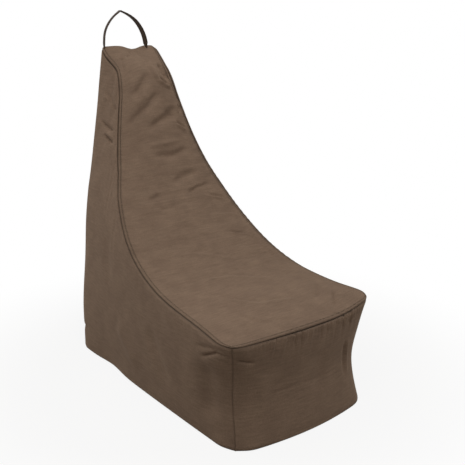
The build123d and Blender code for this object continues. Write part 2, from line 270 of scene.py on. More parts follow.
@dataclass(frozen=True)
class Settling:
    """How the filled bag gives: at the ridge, at the floor, at the seat's corner and on the backrest."""

    # The ridge sags between the feet of the handle
    sag: float = 12.0
    sag_x: float = 16.0
    sag_width: float = 28.0
    sag_from: float = 850.0
    sag_over: float = 90.0
    # The left side is dented near the floor, and the front spreads there
    floor_reach: float = 60.0
    flank: float = 200.0
    dent: float = 10.0
    dent_y: float = 200.0
    dent_width: float = 75.0
    toe: float = 8.0
    toe_x: float = -50.0
    toe_width: float = 230.0
    toe_from: float = -300.0
    toe_over: float = 80.0
    # The whole foot of the bag leans a little to the left
    sway: float = 1.0
    sway_reach: float = 110.0
    # The seat's right front corner stands up
    puff: float = 20.0
    puff_place: tuple = (255.0, -395.0)
    puff_reach: float = 95.0
    puff_from: float = 180.0
    puff_over: float = 80.0
    # The back narrows towards the shoulders, less on the right, but not at the ridge
    ridge_y: float = 424.0
    pinch_heights: tuple = (520.0, 585.0, 660.0, 740.0, 800.0, 870.0, 960.0)
    pinches: tuple = (0.0, 0.05, 0.09, 0.14, 0.19, 0.2, 0.12)
    pinch_over: float = 75.0
    right_pinch: float = 0.55
    # The backrest is crowned across
    crown: float = 24.0
    crown_heights: tuple = (330.0, 500.0, 860.0)
    crown_halves: tuple = (245.0, 195.0, 88.0)
    crown_rise: float = 380.0
    crown_over: float = 60.0
    # The rear corners are nipped in just above the zip
    nip: float = 5.0
    nip_height: float = 74.0
    nip_width: float = 7.0
    nip_from: float = 300.0
    nip_over: float = 90.0

    def move(self, points: Array) -> Array:
        """Let the cloth settle.

        Args:
            points: points of the cover.

        Returns:
            The moved points.
        """
        x, y, z = points[..., 0], points[..., 1], points[..., 2]
        moved = points.copy()
        outward = np.clip(x / self.flank, -1, 1)
        low = hump(z, self.floor_reach)
        sag = hump(x - self.sag_x, self.sag_width) * smooth((z - self.sag_from) / self.sag_over)
        moved[..., 2] -= self.sag * sag
        moved[..., 0] -= self.dent * hump(y - self.dent_y, self.dent_width) * low * (x < 0) * outward
        spread = np.clip(1 - ((x - self.toe_x) / self.toe_width) ** 2, 0, 1)
        moved[..., 1] -= self.toe * spread * low * smooth((self.toe_from - y) / self.toe_over)
        moved[..., 0] -= self.sway * hump(z, self.sway_reach)
        away = np.hypot(x - self.puff_place[0], y - self.puff_place[1])
        above = smooth((z - self.puff_from) / self.puff_over)
        moved[..., 2] += self.puff * hump(away, self.puff_reach) * above
        pinch = np.interp(z, self.pinch_heights, self.pinches) * smooth((self.ridge_y - y) / self.pinch_over)
        moved[..., 0] -= x * pinch * np.where(x > 0, self.right_pinch, 1.0)
        across = np.clip(1 - (x / np.interp(z, self.crown_heights, self.crown_halves)) ** 2, 0, 1)
        rise = smooth((z - self.crown_heights[0]) / self.crown_rise)
        moved[..., 1] -= self.crown * across * rise * smooth((self.ridge_y - y) / self.crown_over)
        nip = hump(z - self.nip_height, self.nip_width) * smooth((y - self.nip_from) / self.nip_over)
        moved[..., 0] -= self.nip * nip * outward
        return moved


@dataclass
class BagForm:
    """The outside of the stuffed cover, with the sizes of the CAD solids.

    Each tuple of sizes gives one for each height. The lounge line is the profile of the seat and back.
    """

    depth: float = 863.0
    back_height: float = 940.0
    rear_lean: float = 20.0
    heights: tuple = (0.0, 62.0, 132.0, 300.0, 420.0, 580.0, 760.0, 960.0)
    front_widths: tuple = (480.0, 480.0, 492.0, 508.0, 488.0, 294.0, 154.0, 118.0)
    front_rounds: tuple = (88.0, 118.0, 134.0, 54.0, 50.0, 45.0, 40.0, 35.0)
    rear_widths: tuple = (462.0, 458.0, 454.0, 418.0, 394.0, 342.0, 266.0, 182.0)
    draws: tuple = (-6.0, 4.0, 14.0, 0.0, 0.0, 0.0, 0.0, 0.0)
    seam_turns: tuple = (0.0, -0.015, -0.05, -0.1, 0.0, 0.0, 0.0, 0.0)
    rear_crowns: tuple = (0.0, 0.0, 0.0, 6.7, 10.5, 11.9, 7.9, 0.0)
    front_crown: float = 24.0
    side_crown: float = 5.0
    rear_corner: float = 60.0
    rear_corner_top: float = 15.0
    lounge: tuple = (
        (-431.5, 285.0), (-290.5, 308.0), (-100.5, 331.0), (57.5, 394.0), (187.5, 513.0),
        (269.5, 647.0), (321.5, 800.0), (354.5, 876.0), (392.0, 907.0), (431.5, 946.0),
    )
    seat_crown: float = 10.0
    seat_width: float = 518.0
    settling: Settling = Settling()
    corner_reach: float = 0.39
    corner_steps: int = 12
    face_points: int = 40
    flank_points: int = 120
    outline_steps: int = 160
    level_step: float = 3.0
    run_spare: float = 60.0
    run_points: int = 1500
    top_passes: int = 12
    seam_passes: int = 8
    seam_points: int = 400
    share_steps: int = 320
    columns: int = 192
    across: int = 72
    rows: int = 96
    evening: int = 150
    tables: dict = field(default_factory=dict)

    def __post_init__(self) -> None:
        """Work out the outline of every level and the lounge line."""
        sizes = (
            self.front_widths, self.rear_widths, self.draws,
            self.rear_crowns, self.front_rounds, self.seam_turns,
        )
        self.sizes = CubicLine(self.heights, np.stack(sizes, axis=1))
        points = np.array(self.lounge)
        run = running_length(points)
        ends = unit(points[1] - points[0]), unit(points[-1] - points[-2])
        self.line = CubicLine(run, points, ends)
        self.line_end = run[-1]
        self.levels = np.arange(0.0, self.heights[-1] + 1, self.level_step)
        outlines = [self._outline(z) for z in self.levels]
        for number, wall in enumerate(Wall):
            self.tables[wall] = np.stack([outline[number] for outline in outlines])

    def _corner(self, before: Array, after: Array, seam: float = 0.5) -> Array:
        """A rounded corner between two lines of an outline.

        Args:
            before: the line that leads into the corner.
            after: the line that leads out of it.
            seam: share of the corner at which its seam lies.

        Returns:
            Points of the corner, with the seam at the middle one.
        """
        start, end = before[-1], after[0]
        reach = self.corner_reach * np.linalg.norm(end - start)
        count = self.corner_steps + 1
        t = np.concatenate([np.linspace(0, seam, count), np.linspace(seam, 1, count)[1:]])[:, None]
        first = start + unit(before[-1] - before[-2]) * reach
        second = end - unit(after[1] - after[0]) * reach
        return start * (1 - t) ** 3 + 3 * first * t * (1 - t) ** 2 + 3 * second * t * t * (1 - t) + end * t**3

    def _outline(self, height: float) -> tuple[Array, ...]:
        """Right half of one level's outline.

        Args:
            height: height of the level.

        Returns:
            The front, side and rear lines, each evenly spaced.
        """
        front_width, rear_width, draw, rear_crown, front_round, turn = self.sizes.at(height)[0]
        front_half, rear_half = front_width / 2, rear_width / 2
        share = min(height / self.back_height, 1.0)
        front = draw - self.depth / 2
        rear = self.depth / 2 - self.rear_lean * (1 - share)
        rear_round = self.rear_corner + (self.rear_corner_top - self.rear_corner) * share
        near, far = front + self.front_crown, rear - rear_crown
        taper, bow = rear_half - front_half, 4 * self.side_crown

        # A rounded corner starts where its circle would touch both walls
        slope = math.atan(2 * self.front_crown / front_half)
        lean = math.atan((taper + bow) / (far - near))
        front_cut = front_round * math.tan((math.pi / 2 - slope - lean) / 2)
        back_lean = math.atan((taper - bow) / (far - near))
        back_slope = math.atan(2 * rear_crown / rear_half)
        rear_cut = rear_round * math.tan((math.pi / 2 + back_lean - back_slope) / 2)

        x = np.linspace(0, front_half - front_cut * math.cos(slope), self.face_points)
        face = np.stack([x, front + self.front_crown * (x / front_half) ** 2], axis=1)
        t = np.linspace(front_cut / (far - near), 1 - rear_cut / (far - near), self.flank_points)
        flank = np.stack([front_half + taper * t + bow * t * (1 - t), near + (far - near) * t], axis=1)
        x = np.linspace(rear_half - rear_cut * math.cos(back_slope), 0, self.face_points)
        tail = np.stack([x, rear - rear_crown * (x / rear_half) ** 2], axis=1)
        fore, aft = self._corner(face, flank, 0.5 + turn), self._corner(flank, tail)
        seam = self.corner_steps
        lines = (
            np.concatenate([face, fore[1 : seam + 1]]),
            np.concatenate([fore[seam:], flank[1:], aft[1 : seam + 1]]),
            np.concatenate([aft[seam:], tail[1:]]),
        )
        even = np.linspace(0, 1, self.outline_steps + 1)
        return tuple(along_line(line, even * running_length(line)[-1]) for line in lines)

    def wall_point(self, wall: Wall, share: Array, height: Array) -> Array:
        """Points of the right half of a wall.

        Args:
            wall: which wall.
            share: shares of the way along the outline, from the front towards the rear.
            height: heights.

        Returns:
            Points, in the shape of share and height.
        """
        table = self.tables[wall]
        share, height = np.broadcast_arrays(np.asarray(share, float), np.asarray(height, float))
        row = np.clip(height / self.level_step, 0, len(self.levels) - BEFORE_LAST)
        column = np.clip(share, 0, 1) * (table.shape[1] - BEFORE_LAST)
        return np.concatenate([sampled(table, row, column), height[..., None]], axis=-1)

    def lounge_point(self, x: Array, run: Array) -> Array:
        """Points of the seat and back.

        Args:
            x: places across.
            run: distances along the lounge line, from the front edge.

        Returns:
            Points, in the shape of x.
        """
        flat_run, flat_x = np.ravel(run), np.ravel(x)
        place, along = self.line.at(flat_run), unit(self.line.slope(flat_run))
        drop = self.seat_crown * (2 * flat_x / self.seat_width) ** 2
        y = place[:, 0] + along[:, 1] * drop
        z = place[:, 1] - along[:, 0] * drop
        return np.stack([flat_x, y, z], axis=1).reshape(*np.shape(x), 3)

    def lounge_run(self, x: Array, y: Array) -> Array:
        """Where along the lounge line the seat or back passes over given points.

        Args:
            x: places across.
            y: places from front to back.

        Returns:
            Distances along the lounge line.
        """
        runs = np.linspace(-self.run_spare, self.line_end + self.run_spare, self.run_points)
        found = []
        for across, deep in zip(np.ravel(x), np.ravel(y)):
            line = self.lounge_point(np.full_like(runs, across), runs)
            found.append(np.interp(deep, line[:, 1], runs))
        return np.array(found)

    def wall_top(self, wall: Wall, shares: Array, start: float) -> tuple[Array, Array]:
        """Where the front or rear wall, or a corner seam, meets the seat panel.

        Args:
            wall: which wall.
            shares: shares along its outline.
            start: a height near the answer.

        Returns:
            The points, and their distances along the lounge line.
        """
        height = np.full(len(shares), start)
        for _ in range(self.top_passes):
            points = self.wall_point(wall, shares, height)
            runs = self.lounge_run(points[:, 0], points[:, 1])
            height = self.lounge_point(points[:, 0], runs)[:, 2]
        return self.wall_point(wall, shares, height), runs

    def side_seam(self, first: float, last: float) -> tuple[Array, Array, Array]:
        """The seam of the right side panel and the seat panel, evenly spaced.

        Args:
            first: distance along the lounge line at the front corner.
            last: distance along it at the rear corner.

        Returns:
            The points, their shares along the side's outline, and their distances along the lounge line.
        """
        runs = np.linspace(first, last, self.seam_points)
        x = np.full_like(runs, self.seat_width / 2)
        share = np.zeros_like(runs)
        shares = np.linspace(0, 1, self.share_steps + 1)
        for _ in range(self.seam_passes):
            points = self.lounge_point(x, runs)
            for i, point in enumerate(points):
                line = self.wall_point(Wall.SIDE, shares, np.full_like(shares, point[2]))
                share[i] = np.interp(point[1], line[:, 1], shares)
                x[i] = np.interp(point[1], line[:, 1], line[:, 0])
        points = np.column_stack([self.lounge_point(x, runs), share, runs])
        even = along_line(points, np.linspace(0, running_length(points[:, :3])[-1], self.columns + 1))
        even[0, 3], even[-1, 3] = 0.0, 1.0
        return even[:, :3], even[:, 3], even[:, 4]

    def grids(self) -> dict[str, Array]:
        """The six panels as grids that share their seams, with the outward direction at each point.

        Returns:
            For each panel, rows by columns by six: a point, and the direction away from the bag there.
        """
        half = np.linspace(0, 1, self.across // 2 + 1)
        front_top, front_runs = self.wall_top(Wall.FRONT, half, self.lounge[0][1])
        rear_top, rear_runs = self.wall_top(Wall.REAR, 1 - half, self.lounge[-1][1])
        seam, shares, runs = self.side_seam(front_runs[-1], rear_runs[-1])
        climb = np.linspace(0, 1, self.rows + 1)[:, None]

        flip = np.array([-1.0, 1.0, 1.0])
        front = self.wall_point(Wall.FRONT, half[None], climb * front_top[None, :, 2])
        rear = self.wall_point(Wall.REAR, (1 - half)[None], climb * rear_top[None, :, 2])
        front, rear = (np.concatenate([wall[:, :0:-1] * flip, wall], axis=1) for wall in (front, rear))
        right = self.wall_point(Wall.SIDE, shares[None], climb * seam[None, :, 2])
        left = right * flip
        seat_ends = []
        for top, run in ((front_top, front_runs), (rear_top, rear_runs)):
            end = np.column_stack([top[:, 0], run])
            seat_ends.append(np.concatenate([end[:0:-1] * [-1, 1], end]))
        seat_edge = np.column_stack([seam[:, 0], runs])
        plan = self._patch(*seat_ends, seat_edge * [-1, 1], seat_edge)
        seat = self.lounge_point(plan[..., 0], plan[..., 1])
        base = self._patch(front[0], rear[0], left[0], right[0])
        made = {"seat": seat, "front": front, "rear": rear, "left": left, "right": right, "base": base}
        return with_directions({name: self.settling.move(grid) for name, grid in made.items()})

    def _patch(self, first: Array, last: Array, left: Array, right: Array) -> Array:
        """Fill four border lines evenly.

        Args:
            first: the border where rows start.
            last: the border where they end.
            left: the border where columns start.
            right: the border where they end.

        Returns:
            Points in rows from first to last and columns from left to right.
        """
        v = np.linspace(0, 1, len(left))[:, None, None]
        u = np.linspace(0, 1, len(first))[None, :, None]
        ruled = first[None] * (1 - v) + last[None] * v + left[:, None] * (1 - u) + right[:, None] * u
        corners = (first[0] * (1 - u) + first[-1] * u) * (1 - v) + (last[0] * (1 - u) + last[-1] * u) * v
        patch = ruled - corners
        for _ in range(self.evening):
            beside = patch[1:-1, :-2] + patch[1:-1, 2:]
            patch[1:-1, 1:-1] = (beside + patch[:-2, 1:-1] + patch[2:, 1:-1]) / 4
        return patch


# Which border of a panel is sewn to which border of another
JOINS = (
    ("seat", "low", "front", "high"), ("seat", "high", "rear", "high"),
    ("seat", "left", "left", "high"), ("seat", "right", "right", "high"),
    ("front", "left", "left", "left"), ("front", "right", "right", "left"),
    ("rear", "left", "left", "right"), ("rear", "right", "right", "right"),
    ("base", "low", "front", "low"), ("base", "high", "rear", "low"),
    ("base", "left", "left", "low"), ("base", "right", "right", "low"),
)


def border_of(grid: Array, border: str) -> Array:
    """One border of a grid, as a view of it."""
    return {"low": grid[0], "high": grid[-1], "left": grid[:, 0], "right": grid[:, -1]}[border]


def seam_numbers(shapes: dict[str, tuple[int, int]]) -> dict[str, Array]:
    """Number the points of the six grids so that points sewn together have one number.

    Args:
        shapes: rows and columns of each grid.

    Returns:
        For each grid its points' numbers.
    """
    numbers, start = {}, 0
    for name, (rows, columns) in shapes.items():
        numbers[name] = start + np.arange(rows * columns).reshape(rows, columns)
        start += rows * columns
    # Three panels meet at a corner, so a number has to pass along three seams
    for _ in range(3):
        for first, first_border, second, second_border in JOINS:
            one, two = border_of(numbers[first], first_border), border_of(numbers[second], second_border)
            lower = np.minimum(one, two)
            one[...], two[...] = lower, lower
    return numbers


def with_directions(grids: dict[str, Array]) -> dict[str, Array]:
    """Add outward directions, and make the panels that meet at a seam share points and directions there.

    Args:
        grids: the panels' points.

    Returns:
        The panels' points and directions.
    """
    middle = np.array([0.0, 0.0, 250.0])
    outward = []
    for grid in grids.values():
        facing = unit(np.cross(np.gradient(grid, axis=1), np.gradient(grid, axis=0)))
        r, c = grid.shape[0] // 3, grid.shape[1] // 2
        outward.append((facing * np.sign(facing[r, c] @ (grid[r, c] - middle))).reshape(-1, 3))
    points = np.concatenate([grid.reshape(-1, 3) for grid in grids.values()])
    same = seam_numbers({name: grid.shape[:2] for name, grid in grids.items()})
    joined = np.concatenate([numbers.ravel() for numbers in same.values()])
    summed = np.zeros((joined.max() + 1, 7))
    np.add.at(summed, joined, np.column_stack([points, np.concatenate(outward), np.ones(len(points))]))
    shared = np.column_stack([summed[:, :3] / np.maximum(summed[:, 6:], 1), unit(summed[:, 3:6])])
    return {name: shared[numbers] for name, numbers in same.items()}


@dataclass
class Stuffing:
    """Presses the sewn cover outwards from inside, so that the cloth finds its own small wrinkles."""

    step: int = 2
    pressure: float = 4.0
    frames: int = 20
    cap: float = 9.0
    quality: int = 5
    mass: float = 0.3
    tension: float = 25.0
    shear: float = 5.0
    bending: float = 0.3

    def _mesh(self, grids: dict[str, Array]) -> tuple[bpy.types.Object, dict[str, Array]]:
        """Sew coarse copies of the grids into one closed mesh.

        Args:
            grids: the coarse grids.

        Returns:
            The mesh object, and each grid's vertex numbers.
        """
        numbers = seam_numbers({name: grid.shape[:2] for name, grid in grids.items()})
        used = np.unique(np.concatenate([n.ravel() for n in numbers.values()]))
        numbers = {name: np.searchsorted(used, n) for name, n in numbers.items()}
        points = np.zeros((len(used), 3))
        faces = []
        for name, grid in grids.items():
            points[numbers[name]] = grid[..., :3]
            quads = quad_faces(numbers[name])
            r, c = grid.shape[0] // 3, grid.shape[1] // 2
            facing = np.cross(grid[r, c + 1, :3] - grid[r, c, :3], grid[r + 1, c, :3] - grid[r, c, :3])
            faces.append(quads if facing @ grid[r, c, 3:] > 0 else quads[:, ::-1])
        mesh = bpy.data.meshes.new("stuffed_cover")
        mesh.from_pydata((points * MM).tolist(), [], np.concatenate(faces).tolist())
        made = add_object("stuffed_cover", mesh)
        held = made.vertex_groups.new(name="seams")
        seams = [border_of(numbers[panel], border) for panel, border, _, _ in JOINS]
        seams.append(numbers["base"].ravel())
        held.add(np.unique(np.concatenate(seams)).tolist(), 1.0, "REPLACE")
        return made, numbers

    def press(self, grids: dict[str, Array]) -> dict[str, Array]:
        """Stuff the cover.

        Args:
            grids: the six grids of the bag.

        Returns:
            The grids with the cloth's movement, which stops at the cap.
        """
        made, numbers = self._mesh({name: grid[:: self.step, :: self.step] for name, grid in grids.items()})
        cloth = made.modifiers.new("stuffing", "CLOTH")
        settings = cloth.settings
        settings.quality = self.quality
        settings.mass = self.mass
        settings.tension_stiffness = settings.compression_stiffness = self.tension
        settings.shear_stiffness = self.shear
        settings.bending_stiffness = self.bending
        settings.vertex_group_mass = "seams"
        settings.use_pressure = True
        settings.uniform_pressure_force = self.pressure
        settings.effector_weights.gravity = 0.0
        cloth.collision_settings.use_collision = False
        cloth.point_cache.frame_start, cloth.point_cache.frame_end = 1, self.frames
        scene = bpy.context.scene
        for number in range(1, self.frames + 1):
            scene.frame_set(number)
        held = made.evaluated_get(bpy.context.evaluated_depsgraph_get())
        moved, rest = np.zeros((2, len(held.data.vertices) * 3))
        held.data.vertices.foreach_get("co", moved)
        made.data.vertices.foreach_get("co", rest)
        shift = (moved - rest).reshape(-1, 3) / MM
        size = np.linalg.norm(shift, axis=1, keepdims=True)
        shift *= self.cap * np.tanh(size / self.cap) / np.maximum(size, 1e-6)
        log.info("stuffing moved the cloth %.1f mm at most", float(size.max()))
        bpy.data.objects.remove(made)
        scene.frame_set(1)
        stuffed = {}
        for name, grid in grids.items():
            coarse = shift[numbers[name]]
            row = np.linspace(0, coarse.shape[0] - BEFORE_LAST, grid.shape[0])[:, None]
            column = np.linspace(0, coarse.shape[1] - BEFORE_LAST, grid.shape[1])[None]
            stuffed[name] = grid[..., :3] + sampled(coarse, row, column)
        return with_directions(stuffed)


@dataclass(frozen=True)
class Seam:
    """How one border of a panel turns in to its seam, with or without a row of topstitching beside it."""

    round_depth: float
    round_width: float
    crease_depth: float
    crease_width: float
    crease_falloff: float = 1.5
    # The press, its spread, the stitch groove's shade and its width set how dark and how wide shade is
    # painted into the crease and the stitch groove
    press: float = 1.0
    shade_spread: float = 1.25
    topstitch: float = 0.0
    groove_depth: float = 1.8
    groove_width: float = 1.7
    felling: float = 1.6
    felling_rise: float = 4.0
    felling_fall: float = 5.0
    stitch_groove_shade: float = 0.75
    stitch_shade_width: float = 1.8
    lip: float = 0.0
    lip_place: float = 6.0
    lip_width: float = 3.5
    lip_from: float = 0.1
    lip_over: float = 0.2

    def sink(self, away: Array, share: Array) -> Array:
        """How far the cloth turns in at a distance from the seam.

        Args:
            away: distances from the seam.
            share: shares of the way along it.

        Returns:
            Depths below the stuffed form.
        """
        rounded = self.round_depth * (1 - smooth(away / self.round_width))
        crease = self.crease_depth * np.exp(-((away / self.crease_width) ** self.crease_falloff))
        lip = self.lip * smooth((share - self.lip_from) / self.lip_over)
        turned = rounded + crease - lip * hump(away - self.lip_place, self.lip_width)
        if not self.topstitch:
            return turned
        beyond = away - self.topstitch
        groove = self.groove_depth * hump(beyond, self.groove_width)
        felled = self.felling * smooth(away / self.felling_rise) * (1 - smooth(beyond / self.felling_fall))
        return turned + groove - felled

    def shade(self, away: Array) -> Array:
        """How dark the cloth is painted at a distance from the seam: painted shade in the crease and the
        stitch groove, a little of it from the nap pressed flat.

        Args:
            away: distances from the seam.

        Returns:
            Shares of painted shade, from 0 for none.
        """
        painted_crease_shade = self.press * hump(away, self.shade_spread * self.crease_width)
        if not self.topstitch:
            return painted_crease_shade
        return painted_crease_shade + self.stitch_groove_shade * hump(away - self.topstitch, self.stitch_shade_width)


@dataclass(frozen=True)
class Fold:
    """A soft fold: a ridge along a line on a panel, or a hollow where its height is negative.

    The line is given in shares of the panel's width and length. The trough is the depth of a hollow beside
    the ridge, as a share of its height, on the right of the line's direction as seen from outside.
    """

    line: tuple
    height: float
    width: float
    trough: float = 0.0
    steps: int = 24
    fade_in: float = 0.25
    fade_out: float = 0.35
    trough_place: float = 1.7
    trough_width: float = 1.1
    reach: float = 6.0

    def lift(self, points: Array, outward: Array, corners: Array) -> Array:
        """Height that the fold adds to a panel.

        Args:
            points: the panel's points.
            outward: the outward direction at each of them.
            corners: the fold's line as points of the panel.

        Returns:
            A height for each point.
        """
        line = along_line(corners, np.linspace(0, running_length(corners)[-1], self.steps))
        total = running_length(line)[-1]
        nearest = np.full(points.shape[:2], 1e9)
        side, progress = np.zeros((2, *points.shape[:2]))
        for i in range(self.steps - 1):
            step = line[i + 1] - line[i]
            offset = points - line[i]
            t = np.clip((offset @ step) / (step @ step), 0, 1)
            away = offset - t[..., None] * step
            distance = np.linalg.norm(away, axis=2)
            closer = distance < nearest
            nearest = np.where(closer, distance, nearest)
            turned = np.einsum("ijk,ijk->ij", np.cross(step, away), outward)
            side = np.where(closer, np.sign(turned), side)
            progress = np.where(closer, (i + t) / (self.steps - 1), progress)
        signed = nearest * side
        fade = smooth(progress / self.fade_in) * smooth((1 - progress) / self.fade_out)
        fade = fade * (nearest < max(total, self.reach * self.width))
        ridge = hump(signed, self.width)
        hollow = hump(signed + self.trough_place * self.width, self.trough_width * self.width)
        return self.height * fade * (ridge - self.trough * hollow)


@dataclass(frozen=True)
class Ripple:
    """Small gathers that run in from a border where more cloth was eased into the seam.

    They start and end at shares of the border. Slow waves along it keep them from looking even: two shift
    them, each with its size, length and start, and others swell them and change their reach.
    """

    border: str
    first: float
    last: float
    pitch: float
    height: float
    reach: float
    fade: float = 0.12
    slant: float = 0.3
    falloff: float = 1.5
    shifts: tuple = ((1.9, 41.0, 0.0), (1.3, 17.3, 2.0))
    swell_lengths: tuple = (19.0, 47.0)
    reach_length: float = 13.0

    def lift(self, run: Array, away: Array) -> Array:
        """Heights of the gathers.

        Args:
            run: distances along the border.
            away: distances from it.

        Returns:
            Heights.
        """
        share = run / np.maximum(run.max(), 1e-6)
        span = smooth((share - self.first) / self.fade) * smooth((self.last - share) / self.fade)
        drift = sum(size * np.sin(run / length + start) for size, length, start in self.shifts)
        wave = np.sin(2 * math.pi * (run + self.slant * away) / self.pitch + drift)
        quick, slow = self.swell_lengths
        swell = 0.6 + 0.4 * np.sin(run / quick + 1.0) * np.sin(run / slow)
        reach = self.reach * (0.7 + 0.5 * np.sin(run / self.reach_length) ** 2)
        return self.height * span * swell * wave * np.exp(-((away / reach) ** self.falloff))


def sheet_object(name: str, points: Array, flat: Array, material: bpy.types.Material, outward: Array,
                 thickness: float) -> bpy.types.Object:
    """Make a piece of cloth from a grid of points.

    Args:
        name: the object's name.
        points: rows by columns by three, in millimetres.
        flat: rows by columns by two, each point's place on the flat cloth.
        material: the cloth.
        outward: outward direction at the grid's middle, to face the cloth by.
        thickness: the cloth's thickness, inwards.

    Returns:
        The object, with a UV map in metres of cloth.
    """
    rows, columns = points.shape[:2]
    faces = quad_faces(np.arange(rows * columns).reshape(rows, columns))
    r, c = rows // 2, columns // 2
    facing = np.cross(points[r, c + 1] - points[r, c], points[r + 1, c] - points[r, c])
    if facing @ outward < 0:
        faces = faces[:, ::-1]
    mesh = bpy.data.meshes.new(name)
    mesh.from_pydata((points.reshape(-1, 3) * MM).tolist(), [], faces.tolist())
    layer = mesh.uv_layers.new(name="cloth")
    layer.data.foreach_set("uv", (flat.reshape(-1, 2) * MM)[faces.ravel()].astype(np.float32).ravel())
    mesh.shade_smooth()
    mesh.materials.append(material)
    made = add_object(name, mesh)
    thick = made.modifiers.new("cloth_thickness", "SOLIDIFY")
    thick.thickness = thickness * MM
    thick.offset = -1
    return made


@dataclass
class Panel:
    """One sewn panel of the cover."""

    name: str
    node: str
    grid: Array
    borders: dict[str, Seam]
    spacing: float
    folds: tuple = ()
    ripples: tuple = ()
    allowance: float = 7.0
    cloth: float = 1.2
    calm_edge: float = 7.0
    edge_share: float = 0.3
    lines_measured: int = 8
    least_points: int = 4
    # Distances from a seam at which the cloth has points, close together at the crease and the stitches
    edge_steps: tuple = (0.0, 0.7, 1.4, 2.2, 3.2, 4.4, 6.0, 8.0, 9.8, 11.0, 12.0, 13.0, 14.4, 16.5, 19.5)

    def _spaced(self, lines: Sequence[Array]) -> Array:
        """Space the points of side-by-side lines: close together at both ends, even between them.

        Args:
            lines: the lines, one array of points each.

        Returns:
            The lines with their new points.
        """
        lengths = [running_length(line[:, :3])[-1] for line in lines]
        longest = max(lengths[:: max(1, len(lines) // self.lines_measured)])
        count = max(self.least_points, int((longest - 2 * self.edge_steps[-1]) / self.spacing))
        spaced = []
        for line, length in zip(lines, lengths):
            edge = np.array(self.edge_steps) * min(1.0, self.edge_share * length / self.edge_steps[-1])
            inner = np.linspace(edge[-1], length - edge[-1], count + 1)[1:-1]
            spaced.append(along_line(line, np.concatenate([edge, inner, length - edge[::-1]])))
        return np.stack(spaced)

    def regrade(self) -> None:
        """Space the grid's rows and columns so that they are close together at the seams."""
        rows = self._spaced(self.grid)
        self.grid = self._spaced(rows.transpose(1, 0, 2)).transpose(1, 0, 2)

    def distances(self) -> dict[str, Array]:
        """Measure every grid point's distance from the four borders.

        Returns:
            For each border, rows by columns.
        """
        points = self.grid[..., :3]
        across = np.linalg.norm(np.diff(points, axis=1), axis=2)
        up = np.linalg.norm(np.diff(points, axis=0), axis=2)
        left = np.pad(np.cumsum(across, axis=1), ((0, 0), (1, 0)))
        low = np.pad(np.cumsum(up, axis=0), ((1, 0), (0, 0)))
        return {"left": left, "right": left[:, -1:] - left, "low": low, "high": low[-1:] - low}

    def at_share(self, across: float, along: float) -> Array:
        """Find a point of the panel.

        Args:
            across: share of the panel's width.
            along: share of its length.

        Returns:
            The point.
        """
        rows, columns = self.grid.shape[:2]
        row, column = np.array(along * (rows - BEFORE_LAST)), np.array(across * (columns - BEFORE_LAST))
        return sampled(self.grid[..., :3], row, column)

    def shape(self, away: dict[str, Array]) -> Array:
        """Final points of the panel: the stuffed form, its folds and gathers, and its turned-in borders.

        Args:
            away: distances of the grid's points from the borders.

        Returns:
            Rows by columns by three.
        """
        points, outward = self.grid[..., :3], self.grid[..., 3:]
        ways = {"low": "left", "high": "left", "left": "low", "right": "low"}
        sinks = []
        for border, seam in self.borders.items():
            run = away[ways[border]]
            sinks.append(seam.sink(away[border], run / np.maximum(run.max(axis=(0, 1)), 1e-6)))
        sink = np.maximum.reduce(sinks) + np.minimum.reduce([np.minimum(s, 0) for s in sinks])
        lift = np.zeros(points.shape[:2])
        for fold in self.folds:
            lift += fold.lift(points, outward, np.stack([self.at_share(*place) for place in fold.line]))
        for ripple in self.ripples:
            lift += ripple.lift(away[ways[ripple.border]], away[ripple.border])
        lift = lift * smooth(np.minimum.reduce(list(away.values())) / self.calm_edge)
        return points + outward * (lift - sink)[..., None]

    def stitch_line(self, inset: float) -> Array:
        """A line of stitching that follows the left, low and right borders of the finished panel.

        Args:
            inset: distance of the line from the borders, one of the edge steps.

        Returns:
            Points of the line.
        """
        step = self.edge_steps.index(inset)
        left, right = self.shaped[step:, step], self.shaped[step:, -step - 1]
        return np.concatenate([left[::-1], self.shaped[step, step : -step - 1], right])

    def build(self, material: bpy.types.Material) -> bpy.types.Object:
        """Make the panel's object, with its edges turned in for the seam allowance.

        Args:
            material: the cloth.

        Returns:
            The object, which also holds the painted shade of its seam creases and stitch grooves at each
            point.
        """
        away = self.distances()
        self.shaped = self.shape(away)
        outward = self.grid[..., 3:]
        flat = np.stack([away["left"] - away["left"][:, -1:] / 2, away["low"]], axis=2)
        # Painted shade of the seam creases and stitch grooves, kept on the points for the material to darken
        # the cloth
        shade = np.maximum.reduce([seam.shade(away[border]) for border, seam in self.borders.items()])
        ring = ((1, 1), (1, 1), (0, 0))
        framed = np.pad(self.shaped - outward * self.allowance, ring, mode="edge")
        framed[1:-1, 1:-1] = self.shaped
        facing = outward[outward.shape[0] // 2, outward.shape[1] // 2]
        made = sheet_object(self.name, framed, np.pad(flat, ring, mode="edge"), material, facing, self.cloth)
        painted_crease_shade = made.data.attributes.new("painted_crease_shade", "FLOAT", "POINT")
        painted_crease_shade.data.foreach_set("value", np.pad(shade, ring[:2], mode="edge").astype(np.float32).ravel())
        return made


